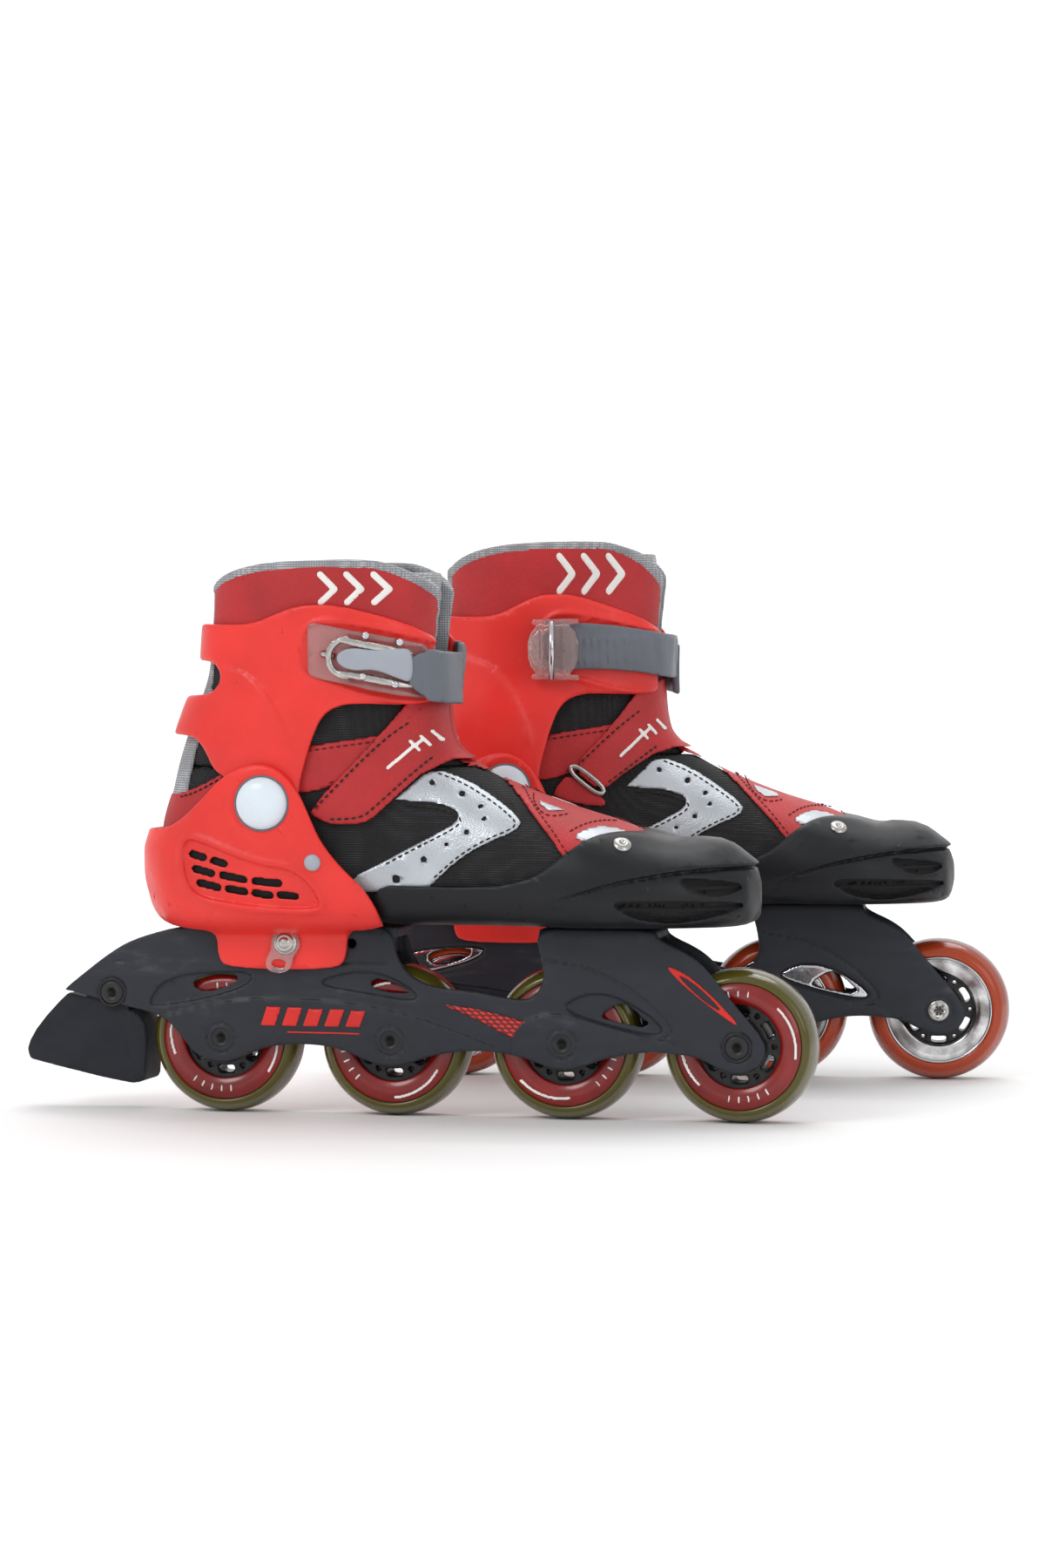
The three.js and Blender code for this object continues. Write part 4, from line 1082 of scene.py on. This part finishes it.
def toe_shell():
    """Black shell with a crease along it and two vents on each side, painted near-black inside as shade.
    """
    grid, foot = window((-48, -54, 80), (136, 60, 140), 0.8)
    above = outline(grid, TOE_CREASE + [(140, 160), (30, 160)], 1)
    relief = 1.9 * raised(above, 0.5) * ease((grid.x - 34) / 26)
    relief = relief - 1.1 * ridge(above, 0.9, 0.4, 0.5) * ease((grid.x - 30) / 26)
    relief = relief + 2.6 * raised(np.sqrt((grid.x - 112) ** 2 / 3.2 + (grid.z - 130) ** 2) - 6, 5)
    relief = relief + 1.0 * ridge(grid.z, 90, 4, 3) * ease((grid.x - 20) / 30)
    vents = np.minimum(outline(grid, VENT_HIGH), outline(grid, VENT_LOW))
    spines = [(100, 106.4), (126, 107.6)], [(72, 97.6), (124, 97.4)]
    spine = np.minimum.reduce([stroke(grid, ends) for ends in spines]) - 0.7
    relief = relief - 2.9 * raised(vents, 0.6) + 1.5 * raised(spine, 0.5) * raised(vents, 0.6)
    sole = 86.9 - grid.z
    shell = fold(fold(foot - 3.6 - relief, sole, 4), 0.1 - foot, 0.4)
    shell = fold(shell, outline(grid, TOE_TOP), 1.4)
    points, faces = skin(grid, shell)
    middles = points[faces].mean(1)
    flat = np.broadcast_to(vents, grid.shape)
    # Painted shade: faces down in the vents get the near-black hole material
    vent_shade_faces = (sample(flat, grid, middles) < 0.2) & (body_at(middles) < 3.0)
    piece("toe_shell", points, faces, "black", "root", ("toe_shell",), "black_plastic",
          second="hole", in_second=vent_shade_faces)
    profile = [(0.02, -1.2), (4.3, -1.2), (4.3, 0.3), (3.9, 0.9), (2.2, 1.5), (1.4, 1.5), (1.2, 0.7),
               (0.02, 0.6)]
    bolts = [head(profile, 32, 71, 126.4, side, 5.2) for side in (-1, 1)]
    piece("toe_rivets", *together(bolts), "steel", "root", slot="bright_steel")


# ---------------------------------------------------------------- fastenings


SLOPE, LEVEL_AT = -0.2, -46.5  # the buckle falls by this towards the front; 0 at that x


def sloped(x0, x1, z0, z1):
    """A band along the buckle's slope, from rear to front and low to high."""
    drop = lambda x: (x - LEVEL_AT) * SLOPE
    return [(x0, z0 + drop(x0)), (x1, z0 + drop(x1)), (x1, z1 + drop(x1)), (x0, z1 + drop(x0))]


def slab(grid, x0, x1, z0, z1, radius=4.0):
    """A rounded rectangle on the buckle's slope."""
    along = np.abs(grid.x - (x0 + x1) / 2) - (x1 - x0) / 2
    across = np.abs(grid.z - SLOPE * (grid.x - LEVEL_AT) - (z0 + z1) / 2) - (z1 - z0) / 2
    return fold(along, across, radius)


RIVET_SLOT = [(-64, 211.2), (-60, 210.4)]


def buckle():
    """Clear base on the lateral side, with the lever's rails, thumb tongue and pins on it."""
    grid, body = window((-80, -60, 188), (-2, 0, 232), 0.6)
    plate = fold(layer(body, 4.9, 6.9), slab(grid, -71.5, -20, 196, 221), 0.9)
    hole = stroke(grid, RIVET_SLOT) - 1.5
    plate = fold(plate, -hole, 0.5)
    walls = np.minimum(outline(grid, sloped(-52, -22, 195.8, 198.6), 1),
                       outline(grid, sloped(-52, -22, 218.4, 221.2), 1))
    plate = merge(plate, fold(layer(body, 5.5, 9.5), walls, 0.8), 1)
    plate = np.maximum(plate, grid.y)
    piece("buckle_base", *skin(grid, plate), "clear", "cuff_unit", ("buckle_base",), "clear_plastic")
    rivet = fold(layer(body, 4.7, 8.2), stroke(grid, RIVET_SLOT) - 1.1, 0.5)
    piece("buckle_rivet", *skin(grid, rivet), "steel", "cuff_unit", slot="bright_steel")
    # Lever: two plated side rails with their pins, and a grey thumb tongue between them
    rails = np.minimum(outline(grid, sloped(-56, -24, 199.4, 202.8), 2),
                       outline(grid, sloped(-56, -24, 214.2, 217.6), 2))
    rails = fold(layer(body, 9.8, 13.4), rails, 0.7)
    bow = np.abs(disc(grid, -52, 209.6, 8.4)) - 1.4
    bow = fold(fold(bow, grid.x + 51, 0.6), layer(body, 9.8, 12.6), 0.6)
    rails = merge(rails, bow, 0.8)
    piece("lever_rails", *skin(grid, rails), "steel", "lever", ("buckle_lever",), "bright_steel")
    tongue = [(-56.5, 211.6), (-56, 206.5), (-49, 203.5), (-40, 204.6), (-30, 200.2), (-24, 198),
              (-24, 213.5), (-31, 214), (-40, 212.8), (-50, 214.4)]
    dish = body + 0.8 * raised(disc(grid, -50, 209, 3), 2.5)
    tongue = fold(layer(dish, 10.2, 13.9), outline(grid, tongue), 1.2)
    piece("lever_tongue", *skin(grid, tongue), "tongue_plastic", "lever", slot="grey_plastic")
    pin = [(0.02, -2), (1.7, -2), (1.7, 1.2), (1.2, 1.8), (0.02, 1.9)]
    places = (-43.5, 219.6), (-45, 201.2), (-29.5, 216.6), (-31.5, 197.6)
    pins = [head(pin, 20, x, z, -1, 12.2) for x, z in places]
    piece("lever_pins", *together(pins), "chrome", "lever", slot="bright_steel")


def ladder():
    """Toothed strap, from the thick block beside the lever round the front to the clamp."""
    grid, body = window((-80, -54, 186), (2, 60, 236), 0.8)
    lateral = outline(grid, sloped(-26, 6, 195.6, 219.2), 1)
    thick = 13.0 - 2.4 * ease((grid.y + 30) / 22)
    block = np.maximum(fold(layer(body, 7.0, thick), lateral, 1.4), grid.y)
    block = block + 0.7 * ridge(np.abs(grid.x + 17), 3.2, 0.3, 0.5) * (grid.y < -20)
    run = [(-74, 200), (-45, 200.5), (-20, 198), (6, 191.5), (6, 213), (-20, 218), (-45, 221.5),
           (-74, 222)]
    run = outline(grid, run, 1)
    waves = np.abs(np.sin(math.pi * (grid.x + 0.45 * np.abs(grid.y)) / 3.4))
    teeth = 0.9 * waves * ridge(grid.z, 209, 6.5, 1.5)
    medial = np.maximum(fold(layer(body, 7.2, 9.2), run, 0.9), -grid.y)
    ribs = np.maximum(fold(layer(body, 9.0, 9.1 + teeth), run + 1.4, 0.5), -grid.y)
    strap = skin(grid, merge(merge(block, medial, 0.8), ribs, 0.3))
    piece("ladder_strap", *strap, "grey_plastic", "cuff_unit", ("ladder_strap",), "grey_plastic")


def clamp():
    """Clear strap clamp on the inner side, with its pin and the plate under it."""
    grid, body = window((-90, 0, 188), (-40, 62, 236), 0.6)
    cover = outline(grid, [(-81, 196.5), (-56, 196), (-56, 222.5), (-81, 222)], 2)
    cover = fold(layer(body, 9.9, 12.0), cover, 1.0)
    rims = np.minimum(outline(grid, [(-79, 195.4), (-56, 195), (-56, 197.6), (-79, 198)], 0),
                      outline(grid, [(-79, 220.6), (-56, 221), (-56, 223.6), (-79, 223.2)], 0))
    cover = merge(cover, fold(layer(body, 6.6, 12.0), rims, 0.8), 1)
    ridges = np.minimum(np.abs(grid.x + 63) - 0.9, np.abs(grid.x + 74) - 0.9)
    ridges = fold(layer(body, 11.8, 13.2), np.maximum(ridges, np.abs(grid.z - 209) - 11.5), 0.6)
    field = merge(cover, ridges, 0.6)
    piece("strap_clamp", *skin(grid, field), "clear", "clamp", ("strap_clamp",), "clear_plastic")
    ends = beside([(-69, 195.6), (-69, 222.4)], 1, 13.2)
    piece("clamp_pin", *tube(ends, 1.3, 14), "chrome", "clamp", slot="bright_steel")
    plate = outline(grid, [(-80, 199), (-57, 198.6), (-57, 220), (-80, 219.6)], 2)
    plate = fold(layer(body, 4.9, 6.1), plate, 0.5)
    piece("clamp_plate", *skin(grid, plate), "steel", "cuff_unit", slot="bright_steel")


def size_lock():
    """Spring knob on the lateral side, with its clear pull tag."""
    (x, z), seat = SIZE_LOCK, -19.9
    knob = [(0.02, 3.2), (2.3, 3.2), (2.3, -0.2), (5.6, -0.2), (5.6, -1.4), (4.9, -1.9), (4.4, -1.9),
            (4.2, -2.8), (3.3, -3.4), (2.9, -3.1), (2.5, -3.9), (1.2, -4.4), (0.02, -4.4)]
    points, faces = lathe(knob, 40, (x, seat, z))
    piece("lock_knob", points, [f[::-1] for f in faces], "steel", "lock", ("size_lock",), "bright_steel")
    grid = Grid((x - 12, -22.6, 60), (x + 10, -19.6, 84), 0.4)
    pull = [(x - 11, z - 13), (x + 2, z - 14.5), (x + 5, z - 2), (x - 6, z)]
    loop = merge(disc(grid, x, z, 6.8), outline(grid, pull, 2), 2)
    loop = np.maximum(loop, -disc(grid, x, z, 2.6))
    finger = [(x - 7.6, z - 11), (x - 0.6, z - 12), (x + 0.6, z - 8.2), (x - 5.6, z - 7.2)]
    tag = fold(fold(loop, -outline(grid, finger, 2), 0.4), np.abs(grid.y + 20.9) - 0.7, 0.5)
    piece("lock_tag", *skin(grid, tag), "tag", "lock", slot="clear_plastic")


# ---------------------------------------------------------------- frame, brake and wheels

RAIL = [(-191, 55), (-195.5, 55.6), (-195.6, 56), (-192.4, 59), (-172, 74.8), (-159.3, 81),
        (-137, 86.8), (-120, 87), (-60, 87), (-40, 87), (-37, 73), (-31, 65), (-20.8, 60),
        (-2.5, 58.4), (21.8, 54.4), (27.8, 56.8), (31.5, 64), (30.6, 71.9), (27, 87), (50, 87),
        (82, 87), (84, 83.3), (98, 77), (106, 70), (117.7, 55.6), (129.5, 42.2), (133.5, 35),
        (131.5, 28), (126, 24.2), (119.7, 22.8), (112, 25), (101, 30.6), (88, 32), (76, 32), (60, 29),
        (50, 24.8), (41, 23), (33, 24.4), (22, 28.8), (8, 31), (-4, 31), (-18.4, 29.4), (-30, 25),
        (-40, 23), (-50, 25), (-62, 30.6), (-74, 32.6), (-88, 32.8), (-100, 30.8), (-111, 25.4),
        (-120, 23.2), (-130, 25.6), (-136, 31), (-143, 40.5), (-151, 45.5), (-172, 49.8)]
EYES = [  # recess, and the hole through it
    ([(-154.7, 51.5), (-148.4, 60.4), (-135.5, 64.4), (-105, 66), (-106.6, 59.4), (-128, 52.7),
      (-153.9, 48.6)],
     [(-135, 59.2), (-129.6, 63.2), (-112.6, 64.2), (-113.4, 60.4), (-128, 55.6)]),
    ([(-77, 60.5), (-59.7, 66.4), (-43.4, 66), (-27.6, 57.6), (-28, 53), (-54, 57)],
     [(-50.5, 61.2), (-45, 63.4), (-35, 59.6), (-30.6, 56.6), (-46, 58)]),
    ([(39, 51), (46.7, 56.6), (57.1, 58.7), (68.5, 55.6), (83, 46.9), (86.6, 41.8), (82.2, 39.6),
      (60.7, 44)],
     [(57, 48), (66.7, 54.2), (72, 51.8), (81.8, 42.6), (60.7, 46.5)]),
]
LOWER_RAIL = [(-152, 43), (-135.1, 48.1), (-115.5, 52.5), (-95.6, 54), (-71.2, 53.3), (-47, 50.5),
              (-27.8, 46.1), (-8.7, 40.1), (14, 31), (14, 10), (-152, 10)]
FRONT_RAIL = [(34, 51), (60, 43.6), (80, 38.6), (94, 37), (100, 20), (20, 10), (14, 40)]
GROOVES = [[(32.3, 73.2), (54.4, 69.6), (74.4, 59.0), (87, 47.4), (91, 41), (86, 37.6), (76.4, 37.6)],
           [(-171, 69.6), (-41, 70.4)]]


def skate_frame():
    """Both rails with their recesses, grooves and decks, then the trims and print on them."""
    grid = Grid((-198, -18.5, 20), (138, 18.5, 89), 0.75)
    rail = outline(grid, RAIL)
    recess = np.minimum.reduce([outline(grid, r) for r, _ in EYES])
    holes = np.minimum.reduce([outline(grid, h, 1) for _, h in EYES])
    relief = -1.6 * raised(recess, 0.4)
    for thick in (outline(grid, LOWER_RAIL, 1), outline(grid, FRONT_RAIL)):
        relief = relief + 1.1 * raised(thick, 0.5)
    relief = relief - 1.2 * raised(np.minimum.reduce([stroke(grid, g) for g in GROOVES]) - 0.3, 0.5)
    bosses = [disc(grid, x, AXLE_HEIGHT, 0) for x in AXLES] + [disc(grid, *TAIL_BOLT, 0)]
    nearest = np.minimum.reduce(bosses)
    relief = relief - 0.9 * ridge(nearest, 6.7, 0.45, 0.5)
    side = np.abs(grid.y)
    walls = fold(fold(side - RAIL_OUTER - relief, RAIL_INNER - side, 0.5), rail, 1.3)
    walls = fold(walls, -holes, 0.8)
    walls = np.maximum(walls, 4.3 - nearest)
    x, z = SIZE_LOCK
    slot = np.maximum(stroke(grid, [(x, z), (x + 20, z)], 0) - 2.6, grid.y)  # the lock slides in it
    walls = np.maximum(walls, -slot)
    walls = np.maximum(walls, np.minimum(-disc(grid, -58.4, 79.3, 2.2), 1))
    decks = fold(np.maximum(side - 14.4, np.abs(grid.z - 84.5) - 2.5),
                 np.minimum(np.abs(grid.x + 86) - 49, np.abs(grid.x - 56) - 27), 1)
    places = (-128, 80, 6), (-44, 80, 6), (34, 79, 6), (78, 79, 6), (-162, 70, 4)  # x, z, half height
    bridges = [np.maximum(np.abs(grid.x - x) - 1.4, np.abs(grid.z - z) - h) for x, z, h in places]
    bridges = np.maximum(np.minimum.reduce(bridges), side - 14.4)
    field = merge(merge(walls, decks, 1.5), np.maximum(bridges, rail), 1)
    piece("frame", *skin(grid, field), "frame", "root", ("frame",), "frame_plastic")
    fine = Grid((-160, 12, 36), (95, 18, 70), 0.6)
    trims = [np.maximum(outline(fine, r) + 0.6, 0.5 - outline(fine, h, 1)) for r, h in EYES]
    trims = fold(np.minimum.reduce(trims), np.abs(fine.y - 14.85) - 0.5, 0.3)
    piece("window_trims", *skin(fine, trims), "chrome", "root", slot="bright_steel")
    lateral = Grid((-110, -18.5, 30), (125, -15, 75), 0.5)
    wedge = [(-17, 52.4), (-3.8, 51.3), (10.4, 48.4), (28.6, 43.4), (25.4, 38), (26.6, 32.5),
             (10.4, 40.8), (-3.8, 47.7)]
    wedge = fold(outline(lateral, wedge, 1), np.abs(lateral.y + 16.3) - 0.5, 0.3)
    piece("rail_wedge", *skin(lateral, wedge), "hatch", "root", slot="red_print")
    bars = [outline(lateral, [(x, 50 - 0.3 * i), (x + 7, 50 - 0.3 * i), (x + 4, 41), (x - 3, 41)], 0)
            for i, x in enumerate(range(-98, -56, 10))]
    line_mark = stroke(lateral, [(-88, 38.4), (-54, 38)], 0) - 0.5
    leaf = [(87, 72), (97, 68), (108, 59), (119, 48), (121, 44), (112, 50), (100, 59), (92, 66)]
    opening = [(93, 68), (103, 62), (115, 50), (106, 55), (97, 63)]
    leaf = np.maximum(outline(lateral, leaf, 2), -outline(lateral, opening, 2))
    flat = np.minimum.reduce(bars + [line_mark, leaf])
    depth = np.where(lateral.x < 0, lateral.y + 17.2, lateral.y + 16.2)
    print_field = fold(flat, np.abs(depth) - 0.35, 0.2)
    piece("rail_print", *skin(lateral, print_field), "red_print", "root", slot="red_print")


def cross_bolt(name, x, z, only=None, reach=16.0):
    """Black socket head outside, screw with a star recess inside, and the shank between."""
    sides = 48
    seat = np.array([x, 0, z])
    socket = [(0.02, reach - 1.5), (5.3, reach - 1.5), (5.3, reach + 0.2), (4.6, reach + 0.7),
              (2.1, reach + 0.7), (2.1, reach - 0.6), (0.02, reach - 0.6)]
    groove = lathe([(5.8, reach - 1), (6.5, reach - 1), (6.5, reach + 0.25), (5.8, reach + 0.25)], sides)
    outer = turned_to(*together([lathe(socket, sides), groove]), seat, (0, -1, 0))
    piece(f"{name}_head", *outer, "black_steel", "root", (name,), "black_steel", only=only)
    points, faces = lathe(socket, sides)
    angle = np.arctan2(points[:, 2], points[:, 0])
    radius = np.hypot(points[:, 0], points[:, 2])
    star = (radius < 2.4) & (radius > 1)
    points[star] *= np.stack([1 + 0.22 * np.cos(6 * angle[star])] * 3, 1) ** np.array([1, 0, 1])
    inner = turned_to(points, faces, seat, (0, 1, 0))
    shank = [(0.02, -reach + 1), (3.6, -reach + 1), (3.6, reach - 1), (0.02, reach - 1)]
    shank = lathe(shank, 24, (x, 0, z))
    piece(f"{name}_screw", *together([inner, shank]), "steel", "root", slot="bright_steel", only=only)


def brake():
    """Rubber pad behind the right skate, with the tongue that its bolt passes through."""
    grid = Grid((-218, -15.5, 10), (-152, 15.5, 66), 0.75)
    block = [(-195.5, 54.2), (-209, 39.7), (-215, 29.4), (-214, 24), (-212, 22.6), (-166, 12.6),
             (-159, 13.4), (-157.6, 16), (-156.7, 38.6), (-160, 44), (-163.4, 46.8), (-193, 54.2)]
    groove = 0.8 * raised(np.abs(grid.x + 163.5 + 0.08 * grid.z) - 0.4, 0.6)
    pad = fold(outline(grid, block, 1), np.abs(grid.y) - 13.2 + groove, 1.6)
    tongue = outline(grid, [(-187, 48), (-184, 61.5), (-167, 62), (-163, 44)])
    tongue = fold(tongue, np.abs(grid.y) - 12.6, 1)
    field = np.maximum(merge(pad, tongue, 1), -disc(grid, *TAIL_BOLT, 3.5))
    piece("brake_pad", *skin(grid, field), "rubber", "root", ("brake_pad",), "brake_rubber", only="right")


def wheel(number, x):
    """Tyre, label and plated ring, hub with its windows, bearings, and print on one axle."""
    at = (x, 0, AXLE_HEIGHT)
    name = f"wheel_{number}"  # of the pieces, and of the body that they turn with
    arc = [math.radians(a) for a in np.linspace(-86, 86, 27)]
    edge = [(28.4, 6.6) if a < 0 else (25.7, 9.3) for a in arc]
    side = [(r + drop * math.cos(a) ** 0.78, 11.95 * math.sin(a)) for a, (r, drop) in zip(arc, edge)]
    profile = [(25.2, -8.4), (28.4, -10)] + side + [(25.7, 10), (25.2, 8.4)]
    points, faces = lathe(profile, 80, at)
    across = (0.5 + points[:, 1] / 24).astype(np.float32)
    faces = [f[::-1] for f in faces]
    piece(f"{name}_tyre", points, faces, "tyre", name, (f"{name}_tyre",), "urethane", across=across)
    label = [(18.8, -9.6), (19.4, -10.4), (28.5, -11.6), (28.6, -11.2), (28.3, -9.8), (24, -9.0),
             (20, -8.2)]
    plated = [(17.4, 8.2), (25.6, 8.6), (25.9, 11.3), (24.6, 11.9), (18.6, 10.4), (17.4, 9.8)]
    rim = [(25.4, 10.9), (26.2, 10.9), (26.2, 12.0), (25.4, 12.0)]
    for what, ring, material, slot in (("label", label, "label", "red_print"),
                                       ("clear_ring", plated, "foil", "clear_plastic"),
                                       ("rim_line", rim, "chrome", "bright_steel")):
        piece(f"{name}_{what}", *lathe(ring, 80, at), material, name, slot=slot)
    bits = []
    for i in range(10):  # small discs, mostly hidden under the plated ring
        turn = math.tau * (i + 0.3) / 10
        seat = np.array([x + 21.6 * math.cos(turn), 8.4, AXLE_HEIGHT + 21.6 * math.sin(turn)])
        flake = lathe([(0.02, -0.3), (2.2, -0.3), (2.2, 0.2), (0.02, 0.2)], 10)
        bits.append((flake[0] + seat, flake[1]))
    piece(f"{name}_flakes", *together(bits), "chrome", name, slot="bright_steel")
    grid = Grid((x - 27, -11, AXLE_HEIGHT - 27), (x + 27, 11, AXLE_HEIGHT + 27), 0.75)
    radius = disc(grid, x, AXLE_HEIGHT, 0)
    angle = np.arctan2(grid.z - AXLE_HEIGHT, grid.x - x)
    aside = lambda turn: np.abs((angle * 6 / math.tau + turn) % 1 - 0.5) * math.tau / 6 * radius
    kidney = fold(np.abs(radius - 15) - 1.6, aside(0) - 3.8, 1)
    pip = np.sqrt((radius - 15.4) ** 2 + aside(0.5) ** 2) - 1.0
    core = fold(layer(radius, 10.9, 18.9), np.abs(grid.y) - 8.6 + 0.14 * np.abs(radius - 11), 0.8)
    core = fold(fold(core, -kidney, 0.5), -pip, 0.3)
    bed = fold(layer(radius, 18.4, 25.4), np.abs(grid.y) - 8.0, 0.5)
    hub = skin(grid, np.minimum(core, bed))
    piece(f"{name}_hub", *hub, "hub", name, (f"{name}_hub",), "hub_plastic")
    half = [(4.4, -9.9), (5.6, -9.9), (5.9, -9.4), (9.2, -9.4), (9.6, -9.9), (10.7, -9.9),
            (10.9, -9.5), (10.9, -3.2), (6, -3)]
    bearing = half + [(r, -y) for r, y in half[::-1]]  # both bearings, and the spacer between
    points, faces = lathe(bearing, 40, at)
    faces = [f[::-1] for f in faces]
    piece(f"{name}_bearings", points, faces, "steel", name, (f"{name}_bearings",), "bright_steel")
    # Plain print on the label: two long arcs and a row of ticks
    flat = Grid((x - 30, -12.6, AXLE_HEIGHT - 30), (x + 30, -9.6, AXLE_HEIGHT + 30), 0.5)
    r = disc(flat, x, AXLE_HEIGHT, 0)
    turn = (np.arctan2(flat.z - AXLE_HEIGHT, flat.x - x) + number * 0.9) % math.pi
    swept = np.maximum(np.abs(r - 26.6 + 1.4 * turn) - 0.75, (np.abs(turn - 0.75) - 0.5) * r)
    tick = np.maximum(np.abs(r - 23.8) - 1.7, np.abs(((turn - 1.75) / 0.19) % 1 - 0.5) * 0.19 * r - 0.5)
    tick = np.maximum(tick, (np.abs(turn - 2.25) - 0.42) * r)
    seat = -10.5 - (r - 19.4) * 1.2 / 9.1
    mark = fold(np.minimum(swept, tick), np.abs(flat.y - seat) - 0.28, 0.2)
    piece(f"{name}_print", *skin(flat, mark), "white", name, slot="white_print")


# ---------------------------------------------------------------- the whole

aim_camera()
studio()
soft_boot()
upper_panels()
instep_strap()
heel_shell()
cuff()
toe_shell()
buckle()
ladder()
clamp()
size_lock()
skate_frame()
for number, x in enumerate(AXLES, 1):
    wheel(number, x)
    cross_bolt(f"axle_{number}", x, AXLE_HEIGHT)
brake()
cross_bolt("brake_bolt", *TAIL_BOLT, "right")
